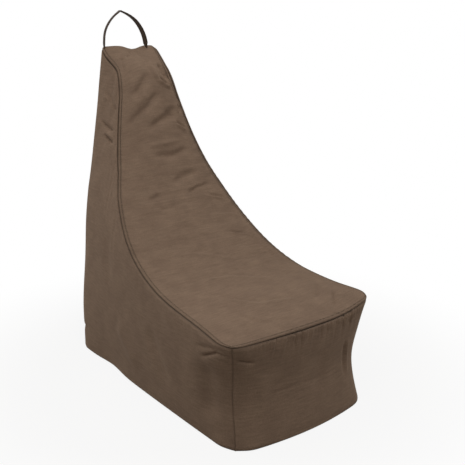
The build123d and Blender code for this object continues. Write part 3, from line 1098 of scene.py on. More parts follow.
@dataclass(frozen=True)
class BrushedSuede:
    """Brushed polyester suede: a matte nap with a soft sheen, short streaks and faint mottling.

    The nap and the weave are drawn coarser than real ones, which are too fine to show.
    """

    colour: str = "#746050"
    light: str = "#7a6655"
    dark: str = "#6c594a"
    # The crease colour is painted shade for the seam creases and stitch grooves, mixed in by the crease shade
    # depth
    crease: str = "#160e08"
    sheen: str = "#b39a80"
    crease_shade_depth: float = 0.92
    streak_length: float = 42.0
    streak_width: float = 5.0
    mottle: float = 55.0
    nap: float = 3.6
    weave: float = 1.6

    def material(self) -> bpy.types.Material:
        """Build the material.

        Returns:
            The material.
        """
        made, tree, shader = new_material("brushed_suede")
        place = add_node(tree, "ShaderNodeUVMap", uv_map="cloth").outputs["UV"]
        body = add_node(tree, "ShaderNodeTexCoord").outputs["Object"]
        stretch = (1 / (self.streak_length * MM), 1 / (self.streak_width * MM), 1 / MM)
        drawn = add_node(tree, "ShaderNodeMapping", {"Vector": place, "Scale": stretch}).outputs[0]
        streak, mottle, nap = (
            add_node(
                tree, "ShaderNodeTexNoise",
                {"Vector": vector, "Scale": scale, "Detail": detail, "Roughness": roughness},
            ).outputs["Fac"]
            for vector, scale, detail, roughness in (
                (drawn, 1.0, 3.0, 0.6),
                (body, 1 / (self.mottle * MM), 3.0, 0.55),
                (body, 1 / (self.nap * MM), 2.0, 0.6),
            )
        )
        weave = add_node(
            tree, "ShaderNodeTexWave",
            {"Vector": place, "Scale": WAVE_UNIT / (self.weave * MM), "Distortion": 1.2, "Detail": 1.0,
             "Detail Scale": 2.0},
            wave_type="BANDS", bands_direction="DIAGONAL",
        ).outputs["Fac"]

        # Cloudy dye, flecked by the nap, with painted shade in the seam creases and stitch
        # grooves. Inputs 6 and 7 of a mix node are its two colours.
        cloud = add_node(
            tree, "ShaderNodeMapRange", {"Value": mottle, "From Min": 0.35, "From Max": 0.65},
        ).outputs[0]
        dyed = add_node(
            tree, "ShaderNodeMix", {0: cloud, 6: linear(self.dark), 7: linear(self.light)}, data_type="RGBA",
        ).outputs[2]
        evened = add_node(
            tree, "ShaderNodeMix", {0: 0.45, 6: dyed, 7: linear(self.colour)}, data_type="RGBA",
        ).outputs[2]
        fleck = add_node(tree, "ShaderNodeMath", {0: streak, 1: nap}, operation="ADD").outputs[0]
        tone = add_node(
            tree, "ShaderNodeMapRange",
            {"Value": fleck, "From Min": 0.6, "From Max": 1.4, "To Min": 0.76, "To Max": 1.24},
        ).outputs[0]
        shade = add_node(
            tree, "ShaderNodeMix", {0: 1.0, 6: evened, 7: tone}, data_type="RGBA", blend_type="MULTIPLY",
        ).outputs[2]
        # Painted shade: the cloth is mixed towards the near-black crease colour at the seam creases and
        # stitch grooves
        painted_crease_shade = add_node(tree, "ShaderNodeAttribute", attribute_name="painted_crease_shade").outputs["Fac"]
        held = add_node(
            tree, "ShaderNodeMath", {0: painted_crease_shade, 1: self.crease_shade_depth}, operation="MULTIPLY",
        ).outputs[0]
        crease_shaded = add_node(
            tree, "ShaderNodeMix", {0: held, 6: shade, 7: linear(self.crease)}, data_type="RGBA",
        ).outputs[2]
        rough = add_node(
            tree, "ShaderNodeMapRange",
            {"Value": nap, "From Min": 0.3, "From Max": 0.7, "To Min": 0.82, "To Max": 0.98},
        ).outputs[0]
        fine = add_node(tree, "ShaderNodeBump", {"Strength": 0.25, "Distance": 0.35 * MM, "Height": weave})
        soft = add_node(
            tree, "ShaderNodeBump",
            {"Strength": 0.5, "Distance": 0.6 * MM, "Height": streak, "Normal": fine.outputs[0]},
        )
        furry = add_node(
            tree, "ShaderNodeBump",
            {"Strength": 0.4, "Distance": 0.5 * MM, "Height": nap, "Normal": soft.outputs[0]},
        )
        tree.links.new(crease_shaded, shader.inputs["Base Color"])
        tree.links.new(rough, shader.inputs["Roughness"])
        tree.links.new(furry.outputs[0], shader.inputs["Normal"])
        shader.inputs["Specular IOR Level"].default_value = 0.25
        shader.inputs["Sheen Weight"].default_value = 0.15
        shader.inputs["Sheen Roughness"].default_value = 0.55
        shader.inputs["Sheen Tint"].default_value = linear(self.sheen)
        return made


@dataclass(frozen=True)
class WovenCloth:
    """A plain weave: two crossing rows of threads, on the cloth's own flat map where it has one.

    The threads are drawn wider than real ones, so that the weave shows.
    """

    name: str
    colour: str
    dark: str
    thread: float
    flat_map: bool = True
    roughness: float = 0.85
    sheen: float = 0.1

    def material(self) -> bpy.types.Material:
        """Build the material.

        Returns:
            The material.
        """
        made, tree, shader = new_material(self.name)
        place = add_node(tree, "ShaderNodeTexCoord").outputs["Object"]
        if self.flat_map:
            place = add_node(tree, "ShaderNodeUVMap", uv_map="cloth").outputs["UV"]
        bands = [
            add_node(
                tree, "ShaderNodeTexWave", {"Vector": place, "Scale": WAVE_UNIT / (self.thread * MM)},
                wave_type="BANDS", bands_direction=way,
            ).outputs["Fac"]
            for way in ("X", "Y")
        ]
        weave = add_node(tree, "ShaderNodeMath", {0: bands[0], 1: bands[1]}, operation="MULTIPLY").outputs[0]
        tone = add_node(
            tree, "ShaderNodeMix", {0: weave, 6: linear(self.dark), 7: linear(self.colour)}, data_type="RGBA",
        )
        bump = add_node(tree, "ShaderNodeBump", {"Strength": 0.5, "Distance": 0.3 * MM, "Height": weave})
        tree.links.new(tone.outputs[2], shader.inputs["Base Color"])
        tree.links.new(bump.outputs[0], shader.inputs["Normal"])
        shader.inputs["Roughness"].default_value = self.roughness
        shader.inputs["Specular IOR Level"].default_value = 0.3
        shader.inputs["Sheen Weight"].default_value = self.sheen
        return made


class Grain(Enum):
    """How a solid finish is broken up: round cells or soft clouds."""

    CELLS = "ShaderNodeTexVoronoi"
    CLOUDS = "ShaderNodeTexNoise"


@dataclass(frozen=True)
class SolidFinish:
    """A moulded, cast or foamed finish with fine mottling and a grain from its making."""

    name: str
    colour: str
    dark: str
    grain: float
    relief: float
    roughness: float
    pattern: Grain = Grain.CLOUDS

    def material(self) -> bpy.types.Material:
        """Build the material.

        Returns:
            The material.
        """
        made, tree, shader = new_material(self.name)
        place = add_node(tree, "ShaderNodeTexCoord").outputs["Object"]
        grain = add_node(
            tree, self.pattern.value, {"Vector": place, "Scale": 1 / (self.grain * MM)},
        ).outputs[0]
        # With cells, the colour darkens towards each cell's edge: painted shade in the gaps between round
        # beads
        tone = add_node(
            tree, "ShaderNodeMix", {0: grain, 6: linear(self.colour), 7: linear(self.dark)}, data_type="RGBA",
        )
        bump = add_node(
            tree, "ShaderNodeBump", {"Strength": 0.4, "Distance": self.relief * MM, "Height": grain},
            invert=True,
        )
        tree.links.new(tone.outputs[2], shader.inputs["Base Color"])
        tree.links.new(bump.outputs[0], shader.inputs["Normal"])
        shader.inputs["Roughness"].default_value = self.roughness
        return made


# The places of the folds are shares of a panel's width, and of its length from the front edge or the floor
SEAT_FOLDS: tuple = (
    # Long hollows across the backrest, with low ridges between them
    Fold(((0.54, 0.87), (0.34, 0.83), (0.18, 0.805)), -9.5, 12.5),
    Fold(((0.65, 0.825), (0.42, 0.78), (0.22, 0.755), (0.13, 0.735)), -10.0, 12.5),
    Fold(((0.4, 0.815), (0.22, 0.785)), 3.0, 11.0),
    Fold(((0.56, 0.8), (0.37, 0.765), (0.2, 0.745)), 4.0, 10.0),
    Fold(((0.87, 0.765), (0.58, 0.75), (0.34, 0.72)), -11.5, 12.0),
    Fold(((0.86, 0.78), (0.6, 0.76)), -6.0, 11.0),
    Fold(((0.83, 0.675), (0.61, 0.66), (0.35, 0.66)), -9.0, 10.5),
    Fold(((0.76, 0.695), (0.53, 0.69), (0.31, 0.685)), 3.5, 7.0),
    Fold(((0.8, 0.61), (0.64, 0.605), (0.48, 0.585)), -8.5, 11.0),
    # A hollow at the upper right edge of the backrest, and the ridges beside it
    Fold(((0.83, 0.9), (0.88, 0.87), (0.93, 0.85)), -13.0, 10.0),
    Fold(((0.61, 0.895), (0.63, 0.86), (0.73, 0.835)), 7.0, 9.0),
    Fold(((0.91, 0.835), (0.78, 0.835), (0.62, 0.85)), 8.0, 6.0, 1.0),
    Fold(((0.87, 0.765), (0.87, 0.79)), 5.0, 4.0, 1.3),
    Fold(((0.89, 0.72), (0.74, 0.74)), 6.0, 4.5, 1.0),
    # Creases that run in from the right seam, from the backrest down to the seat
    Fold(((0.86, 0.575), (0.71, 0.57), (0.58, 0.555)), -8.0, 5.5),
    Fold(((0.89, 0.52), (0.8, 0.535), (0.72, 0.545)), 5.0, 3.8, 1.2),
    Fold(((0.9, 0.385), (0.82, 0.41), (0.7, 0.43)), 5.5, 4.2, 1.2),
    Fold(((0.89, 0.31), (0.85, 0.335), (0.76, 0.345)), 4.0, 4.2, 1.0),
    Fold(((0.86, 0.225), (0.78, 0.235), (0.72, 0.25)), 2.8, 4.2, 1.0),
    Fold(((0.9, 0.47), (0.82, 0.48), (0.71, 0.485)), 3.0, 5.0, 0.8),
    Fold(((0.91, 0.355), (0.82, 0.365), (0.71, 0.37)), 2.5, 4.5, 0.9),
    # Two short hollows on the left, where the backrest rises from the seat
    Fold(((0.39, 0.565), (0.26, 0.55)), -5.0, 6.0),
    Fold(((0.48, 0.525), (0.31, 0.525)), -4.5, 5.5),
    # The creased right front corner of the seat
    Fold(((0.82, 0.11), (0.69, 0.055)), -5.5, 5.0),
    Fold(((0.82, 0.16), (0.67, 0.1)), -4.0, 6.0),
    Fold(((0.83, 0.09), (0.74, 0.055)), 2.5, 5.0),
    # Low swells across the seat
    Fold(((0.62, 0.125), (0.41, 0.145), (0.27, 0.21)), 2.0, 6.0, 0.8),
    Fold(((0.68, 0.22), (0.47, 0.28), (0.25, 0.295)), 2.0, 7.0, 0.8),
    Fold(((0.68, 0.32), (0.44, 0.38), (0.24, 0.395)), 2.0, 8.0, 0.8),
    Fold(((0.27, 0.14), (0.33, 0.09), (0.48, 0.08)), 1.8, 6.0, 0.8),
    # Creases under the top ridge
    Fold(((0.53, 0.96), (0.29, 0.915)), -5.0, 5.0),
    Fold(((0.24, 0.93), (0.11, 0.875)), -4.5, 5.0),
    Fold(((0.72, 0.91), (0.48, 0.87)), 3.0, 7.0, 0.8),
)
LEFT_FOLDS: tuple = (
    # Creases at the shoulder, where the side narrows to the ridge
    Fold(((0.8, 0.94), (0.92, 0.85)), -6.0, 5.5),
    Fold(((0.785, 0.89), (0.89, 0.78), (0.93, 0.77)), -8.5, 5.0),
    Fold(((0.76, 0.9), (0.915, 0.75)), 4.0, 5.0),
    Fold(((0.76, 0.88), (0.9, 0.75)), -7.0, 5.0),
    Fold(((0.87, 0.86), (0.935, 0.85)), 4.0, 6.0, 0.9),
    # Creases that hang from the front corner of the seat
    Fold(((0.02, 0.91), (0.07, 0.9), (0.125, 0.76)), -6.5, 4.5),
    Fold(((0.03, 0.95), (0.075, 0.93), (0.14, 0.84)), -3.5, 6.0),
    # Wide, shallow hollows and a swell on the flank
    Fold(((0.355, 0.64), (0.305, 0.2)), -6.0, 26.0),
    Fold(((0.595, 0.34), (0.49, 0.15)), 6.0, 26.0),
    Fold(((0.105, 0.77), (0.105, 0.16)), -9.0, 30.0),
    Fold(((0.66, 0.67), (0.63, 0.44)), -4.0, 22.0),
)
FRONT_FOLDS: tuple = (
    # A crease at the left corner, a ridge near the right one and two wide waves between them
    Fold(((0.04, 0.82), (0.16, 0.77)), -6.0, 4.5),
    Fold(((0.81, 0.7), (0.83, 0.34)), 6.0, 7.0, 0.8),
    Fold(((0.2, 0.68), (0.22, 0.26)), 4.0, 22.0),
    Fold(((0.58, 0.74), (0.57, 0.32)), -4.0, 22.0),
)
RIGHT_FOLDS: tuple = (
    # Fewer and shallower than on the left, at the shoulder, the front corner and the flank
    Fold(((0.86, 0.84), (0.76, 0.96)), -3.5, 5.0),
    Fold(((0.9, 0.76), (0.74, 0.9)), 2.5, 6.0, 0.8),
    Fold(((0.06, 0.86), (0.16, 0.72)), -4.0, 5.0),
    Fold(((0.36, 0.58), (0.33, 0.18)), -4.0, 26.0),
    Fold(((0.6, 0.36), (0.52, 0.14)), 4.0, 26.0),
)
REAR_FOLDS: tuple = (
    # Two slack hollows from the shoulders, two swells below them and short puckers over the zip
    Fold(((0.12, 0.9), (0.4, 0.7), (0.62, 0.62)), -4.0, 12.0),
    Fold(((0.86, 0.8), (0.6, 0.58), (0.42, 0.5)), -4.0, 12.0),
    Fold(((0.16, 0.4), (0.42, 0.28)), 3.0, 10.0, 0.8),
    Fold(((0.85, 0.35), (0.62, 0.22)), 3.0, 10.0, 0.8),
    Fold(((0.3, 0.03), (0.34, 0.12)), 2.0, 6.0, 0.8),
    Fold(((0.68, 0.03), (0.64, 0.14)), 2.0, 6.0, 0.8),
)
# Gathers at the front edge of the seat and under it, and slight ones along the side seams
SEAT_RIPPLES: tuple = (
    Ripple("low", 0.2, 0.98, 17.0, 1.6, 24.0),
    Ripple("right", 0.25, 0.9, 34.0, 1.8, 40.0),
    Ripple("left", 0.3, 0.95, 30.0, 0.8, 30.0),
)
FRONT_RIPPLES: tuple = (
    Ripple("high", 0.05, 0.97, 13.0, 5.6, 24.0),
    Ripple("high", 0.15, 0.9, 23.0, 4.2, 38.0),
)
SIDE_RIPPLES: tuple = (Ripple("high", 0.05, 0.7, 19.0, 0.9, 26.0),)


@dataclass
class Cover:
    """The sewn cover: seven panels that meet at turned-in seams."""

    stitch_inset: float = 12.0
    # Each seam's press paints shade into its crease; on the floor edge it is painted contact shadow where the
    # cloth meets the floor
    plain: Seam = Seam(1.8, 14.0, 6.0, 3.5)
    stitched: Seam = Seam(1.8, 14.0, 6.0, 3.5, topstitch=12.0)
    corner: Seam = Seam(1.0, 10.0, 1.8, 1.8, press=0.3)
    welted: Seam = Seam(0.0, 14.0, 6.0, 3.5, lip=4.0)
    floor_edge: Seam = Seam(3.0, 12.0, 1.6, 2.0, press=0.8)
    zip_edge: Seam = Seam(0.8, 4.0, 1.0, 1.2, press=0.3)
    zip_height: float = 62.0
    zip_allowance: float = 2.2
    slot_half_length: float = 165.0
    slot_half_height: float = 7.0
    slot_spare: float = 4.0
    slot_ease: float = 6.0
    lower_rows: int = 12
    panels: dict = field(default_factory=dict)

    def _rear_halves(self, rear: Array) -> tuple[Array, Array]:
        """Cut the rear wall at the zip.

        Args:
            rear: its whole grid.

        Returns:
            The lower and the upper grid.
        """
        tops = rear[-1, :, 2]
        beside = self.slot_half_length + self.slot_spare - np.abs(rear[0, :, 0])
        gap = self.slot_half_height * smooth(beside / self.slot_ease)
        halves = []
        for low, high, rows in (
            (np.zeros_like(tops), self.zip_height - gap, self.lower_rows),
            (self.zip_height + gap, tops, len(rear)),
        ):
            share = np.linspace(0, 1, rows)[:, None]
            heights = low * (1 - share) + high * share
            place = heights / tops * (len(rear) - BEFORE_LAST)
            row = place.astype(int)
            part = (place - row)[..., None]
            column = np.arange(rear.shape[1])[None]
            halves.append(rear[row, column] * (1 - part) + rear[row + 1, column] * part)
        return halves[0], halves[1]

    def _panels(self, grids: dict[str, Array]) -> list[Panel]:
        """Describe the panels.

        Args:
            grids: the six grids of the bag.

        Returns:
            The panels, not yet built.
        """
        plain, stitched, floor_edge, zip_edge = self.plain, self.stitched, self.floor_edge, self.zip_edge
        lower, upper = self._rear_halves(grids["rear"])
        corners = {"left": self.corner, "right": self.corner}
        wall = {**corners, "low": floor_edge, "high": plain}
        seat = {"left": stitched, "right": stitched, "low": stitched, "high": plain}
        return [
            Panel("seat_panel_cloth", "seat_panel", grids["seat"], seat, 4.0, SEAT_FOLDS, SEAT_RIPPLES),
            Panel("front_panel_cloth", "front_panel", grids["front"], wall, 3.0, FRONT_FOLDS, FRONT_RIPPLES),
            Panel("left_side_cloth", "left_side_panel", grids["left"], wall, 4.5, LEFT_FOLDS, SIDE_RIPPLES),
            Panel("right_side_cloth", "right_side_panel", grids["right"], {**wall, "high": self.welted}, 4.5,
                  RIGHT_FOLDS, SIDE_RIPPLES),
            Panel("rear_lower_cloth", "rear_panel_lower", lower,
                  {**corners, "low": floor_edge, "high": zip_edge}, 4.0, allowance=self.zip_allowance),
            Panel("rear_upper_cloth", "rear_panel_upper", upper,
                  {**corners, "low": zip_edge, "high": plain}, 5.0, REAR_FOLDS, allowance=self.zip_allowance),
            Panel("base_cloth", "base_panel", grids["base"], dict.fromkeys(wall, floor_edge), 12.0),
        ]

    def build(self, grids: dict[str, Array], cloth: bpy.types.Material) -> None:
        """Build the panels.

        Args:
            grids: the six grids of the stuffed bag.
            cloth: the cover's material.
        """
        for panel in self._panels(grids):
            panel.regrade()
            piece = panel.build(cloth)
            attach(piece, "root")
            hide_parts(panel.node)
            self.panels[panel.name] = panel
            log.info("%s: %d faces", piece.name, len(piece.data.polygons))


@dataclass
class Topstitching:
    """A row of lockstitch beside the seat panel's seams."""

    length: float = 3.4
    pitch: float = 4.4
    thread: float = 0.9

    def _tree(self, thread: bpy.types.Material) -> bpy.types.NodeTree:
        """Build the node tree that lays stitches along a curve.

        Args:
            thread: the stitches' material.

        Returns:
            The tree.
        """
        tree = bpy.data.node_groups.new("lockstitch", "GeometryNodeTree")
        tree.interface.new_socket("Geometry", in_out="INPUT", socket_type="NodeSocketGeometry")
        for name in ("Pitch", "Stitch Length", "Thread Width"):
            tree.interface.new_socket(name, in_out="INPUT", socket_type="NodeSocketFloat")
        tree.interface.new_socket("Geometry", in_out="OUTPUT", socket_type="NodeSocketGeometry")
        given = add_node(tree, "NodeGroupInput").outputs
        points = add_node(
            tree, "GeometryNodeCurveToPoints", {"Curve": given["Geometry"], "Length": given["Pitch"]},
            mode="LENGTH",
        )
        ball = add_node(tree, "GeometryNodeMeshUVSphere", {"Segments": 6, "Rings": 5, "Radius": 0.5})
        long = add_node(
            tree, "ShaderNodeCombineXYZ",
            {0: given["Thread Width"], 1: given["Thread Width"], 2: given["Stitch Length"]},
        )
        laid = add_node(
            tree, "GeometryNodeInstanceOnPoints",
            {"Points": points.outputs["Points"], "Instance": ball.outputs["Mesh"],
             "Rotation": points.outputs["Rotation"], "Scale": long.outputs[0]},
        )
        real = add_node(tree, "GeometryNodeRealizeInstances", {"Geometry": laid.outputs[0]})
        dressed = add_node(tree, "GeometryNodeSetMaterial", {"Geometry": real.outputs[0], "Material": thread})
        add_node(tree, "NodeGroupOutput", {"Geometry": dressed.outputs[0]})
        return tree

    def build(self, cover: Cover, thread: bpy.types.Material) -> None:
        """Stitch the seat panel along its sides and front.

        Args:
            cover: the finished cover.
            thread: the stitches' material.
        """
        line = cover.panels["seat_panel_cloth"].stitch_line(cover.stitch_inset)
        curve = bpy.data.curves.new("stitch_line", "CURVE")
        curve.dimensions = "3D"
        spline = curve.splines.new("POLY")
        spline.points.add(len(line) - 1)
        spline.points.foreach_set("co", np.column_stack([line * MM, np.ones(len(line))]).ravel())
        guide = add_object("stitch_line", curve)
        modifier = guide.modifiers.new("stitches", "NODES")
        modifier.node_group = self._tree(thread)
        sizes = {"Pitch": self.pitch, "Stitch Length": self.length, "Thread Width": self.thread}
        for item in modifier.node_group.interface.items_tree:
            if item.name in sizes:
                modifier[item.identifier] = sizes[item.name] * MM
        held = guide.evaluated_get(bpy.context.evaluated_depsgraph_get())
        mesh = bpy.data.meshes.new_from_object(held)
        mesh.name = "seat_topstitch"
        mesh.shade_smooth()
        piece = add_object("seat_topstitch", mesh)
        bpy.data.objects.remove(guide)
        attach(piece, "root")
        log.info("%s: %d faces", piece.name, len(mesh.polygons))


@dataclass
class InnerBag:
    """The liner's two halves and the beads, drawn in so that they stay under the cover's seams."""

    liner_inset: float = 26.0
    bead_inset: float = 32.0
    top: float = 900.0
    back: float = 428.0
    step: int = 3

    def _shell(self, name: str, parts: Sequence[Array], inset: float) -> bpy.types.Mesh:
        """Make one shell from grids that share their borders.

        Args:
            name: the piece's name.
            parts: the grids.
            inset: how far the shell lies inside the cover.

        Returns:
            The shell, facing outwards.
        """
        points, faces, start = [], [], 0
        for part in parts:
            moved = part[..., :3] - part[..., 3:] * inset
            moved[..., 1] = np.minimum(moved[..., 1], self.back - inset)
            moved[..., 2] = np.clip(moved[..., 2], inset / 2, self.top - inset)
            rows, columns = moved.shape[:2]
            points.append(moved.reshape(-1, 3))
            faces.append(quad_faces(start + np.arange(rows * columns).reshape(rows, columns)))
            start += rows * columns
        # Points that are the same to a hundredth of a millimetre become one
        merged, same = np.unique(np.round(np.concatenate(points), 2), axis=0, return_inverse=True)
        kept = [list(dict.fromkeys(quad)) for quad in np.ravel(same)[np.concatenate(faces)].tolist()]
        mesh = bpy.data.meshes.new(name)
        mesh.from_pydata((merged * MM).tolist(), [], [quad for quad in kept if len(quad) > 2])
        mesh.validate()
        mesh.shade_smooth()
        return mesh

    def build(self, grids: dict[str, Array], lining: bpy.types.Material, beads: bpy.types.Material) -> None:
        """Make the liner and the beads.

        Args:
            grids: the six grids of the stuffed bag.
            lining: the liner's cloth.
            beads: the beads' finish.
        """
        coarse = {name: grid[:: self.step, :: self.step] for name, grid in grids.items()}
        left, right = [], []
        for name in ("seat", "front", "rear", "base"):
            middle = coarse[name].shape[1] // 2
            left.append(coarse[name][:, : middle + 1])
            right.append(coarse[name][:, middle:])
        left.append(coarse["left"])
        right.append(coarse["right"])
        for name, node, slot, parts, inset, material in (
            ("liner_left_cloth", "liner_left_half", "liner_cloth", left, self.liner_inset, lining),
            ("liner_right_cloth", "liner_right_half", "liner_cloth", right, self.liner_inset, lining),
            ("bead_mass", "bead_fill", "beads", coarse.values(), self.bead_inset, beads),
        ):
            mesh = self._shell(name, parts, inset)
            mesh.materials.append(material)
            piece = add_object(name, mesh)
            bpy.context.view_layer.objects.active = piece
            bpy.ops.object.mode_set(mode="EDIT")
            bpy.ops.mesh.select_all(action="SELECT")
            bpy.ops.mesh.normals_make_consistent(inside=False)
            bpy.ops.object.mode_set(mode="OBJECT")
            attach(piece, "root")
            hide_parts(node)
            log.info("%s: %d faces", name, len(mesh.polygons))


@dataclass
class CarryHandle:
    """A folded strap that comes up out of the ridge, makes a pointed arch and goes back in.

    The legs are given by places across and heights above the line that the handle turns about.
    """

    pivot: float = 948.0
    setback_y: float = 418.5
    shift_y: float = 4.0
    left_leg: tuple = (
        (-86.0, -38.0), (-85.5, 0.0), (-79.0, 36.0), (-65.0, 59.0), (-46.0, 78.0), (-19.0, 96.0),
    )
    right_leg: tuple = (
        (-19.0, 96.0), (8.0, 84.0), (30.0, 67.0), (46.5, 44.0), (61.0, 0.0), (62.0, -38.0),
    )
    leg_points: int = 52
    width: float = 20.0
    thickness: float = 3.4
    edge_thickness: float = 0.45
    edge_sharpness: int = 14
    face_points: int = 21
    groove: float = 0.3
    groove_inset: float = 2.6
    groove_width: float = 0.7
    lean_back: float = 12.0
    tuck: float = 1.0
    foot_width: float = 10.0
    sewn_depth: float = 12.0
    left_twist: float = 15.0
    right_twist: float = -12.0
    twist_reach: float = 110.0
    bend: float = 9.0

    def path(self) -> Array:
        """Lay out the middle line of the strap.

        Returns:
            Points from the end of the left tail to the end of the right one.
        """
        legs = []
        for leg in (self.left_leg, self.right_leg):
            run = running_length(np.array(leg))
            legs.append(CubicLine(run, leg).at(np.linspace(0, run[-1], self.leg_points)))
        flat = np.concatenate([legs[0], legs[1][1:]])
        rise = np.clip(flat[:, 1] / self.left_leg[-1][1], 0, 1)
        y = self.setback_y + self.shift_y + self.lean_back * rise**2 - self.tuck * self.sewn_in(flat[:, 1])
        return np.stack([flat[:, 0], y, self.pivot + flat[:, 1]], axis=1)

    def sewn_in(self, height: Array) -> Array:
        """How far the strap is inside the ridge, from 0 above it to 1 where it is sewn fast."""
        return smooth(-height / self.sewn_depth)

    def section(self) -> Array:
        """Cut across the strap: rounded edges, and a shallow groove inside each edge where it is stitched.

        Returns:
            Points of the outline, as places across the strap and through it.
        """
        half, deep = self.width / 2, self.thickness / 2
        side = np.linspace(-1, 1, self.face_points)
        groove = self.groove * hump(np.abs(side) * half - half + self.groove_inset, self.groove_width)
        full = 1 - np.abs(side) ** self.edge_sharpness
        rise = self.edge_thickness + (1 - self.edge_thickness) * full
        face = np.stack([side * half, deep * rise - groove], axis=1)
        return np.concatenate([face, face[::-1] * [1, -1]])

    def build(self, cloth: bpy.types.Material) -> None:
        """Make the strap, narrowed and tucked in at its feet.

        Args:
            cloth: the strap's material.
        """
        line, section = self.path(), self.section()
        along = unit(np.gradient(line, axis=0))
        left_share = smooth(0.5 - line[:, 0] / self.twist_reach)
        angle = np.radians(self.right_twist + (self.left_twist - self.right_twist) * left_share)
        across = np.stack([np.sin(angle), np.cos(angle), np.zeros_like(angle)], axis=1)
        across = unit(across - along * np.sum(across * along, axis=1, keepdims=True))
        outward = np.cross(along, across)
        gather = 1 - (1 - self.foot_width / self.width) * self.sewn_in(line[:, 2] - self.pivot)
        rings = (
            line[:, None]
            + across[:, None] * section[None, :, :1] * gather[:, None, None]
            + outward[:, None] * section[None, :, 1:]
        )
        count = len(section)
        index = np.arange(len(line) * count).reshape(len(line), count)
        faces = quad_faces(np.concatenate([index, index[:, :1]], axis=1)).tolist()
        faces += [index[0, ::-1].tolist(), index[-1].tolist()]
        mesh = bpy.data.meshes.new("carry_strap")
        mesh.from_pydata((rings.reshape(-1, 3) * MM).tolist(), [], faces)
        vertex = np.zeros(len(mesh.loops), np.int32)
        mesh.loops.foreach_get("vertex_index", vertex)
        around, run = running_length(section), running_length(line)
        flat = np.column_stack([around[vertex % count], run[vertex // count]]) * MM
        mesh.uv_layers.new(name="cloth").data.foreach_set("uv", flat.astype(np.float32).ravel())
        mesh.shade_smooth()
        mesh.materials.append(cloth)
        made = add_object("carry_strap", mesh)
        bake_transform(made)
        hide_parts("carry_handle", "handle_tail_left", "handle_tail_right")
        log.info("%s: %d faces", made.name, len(mesh.polygons))


@dataclass
class ZipFastener:
    """The zip low on the back: woven tapes, and the CAD teeth, stops and slider in their finishes."""

    tape_length: float = 336.0
    inner_edge: float = 2.3
    reach: float = 16.0
    height: float = 62.0
    face_y: float = 410.3
    thickness: float = 0.8
    edge_cord: float = 0.35
    edge_cord_width: float = 1.2
    points_along: int = 121
    points_up: int = 9

    def build(self, tape: bpy.types.Material, acetal: bpy.types.Material, zinc: bpy.types.Material) -> None:
        """Make the tapes and dress the hard pieces.

        Args:
            tape: woven tape.
            acetal: finish of the teeth and stops.
            zinc: finish of the slider.
        """
        x = np.linspace(-self.tape_length / 2, self.tape_length / 2, self.points_along)
        wide, high = np.meshgrid(x, np.linspace(self.inner_edge, self.reach, self.points_up))
        y = self.face_y + self.edge_cord * hump(high - self.inner_edge, self.edge_cord_width)
        flat = np.stack([wide, high], axis=2)
        rearward = np.array([0.0, 1.0, 0.0])
        for sign, name in ((1, "zip_tape_upper"), (-1, "zip_tape_lower")):
            points = np.stack([wide, y, self.height + sign * high], axis=2)
            piece = sheet_object(f"{name}_cloth", points, flat, tape, rearward, self.thickness)
            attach(piece, "root")
            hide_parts(name)
            log.info("%s: %d faces", piece.name, len(piece.data.polygons))
        for name, finish in (
            ("zip_teeth_upper", acetal), ("zip_teeth_lower", acetal), ("zip_top_stops", acetal),
            ("zip_bottom_stop", acetal), ("zip_slider", zinc),
        ):
            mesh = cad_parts[name].data
            mesh.materials.clear()
            mesh.materials.append(finish)
            log.info("%s: %d faces", name, len(mesh.polygons))


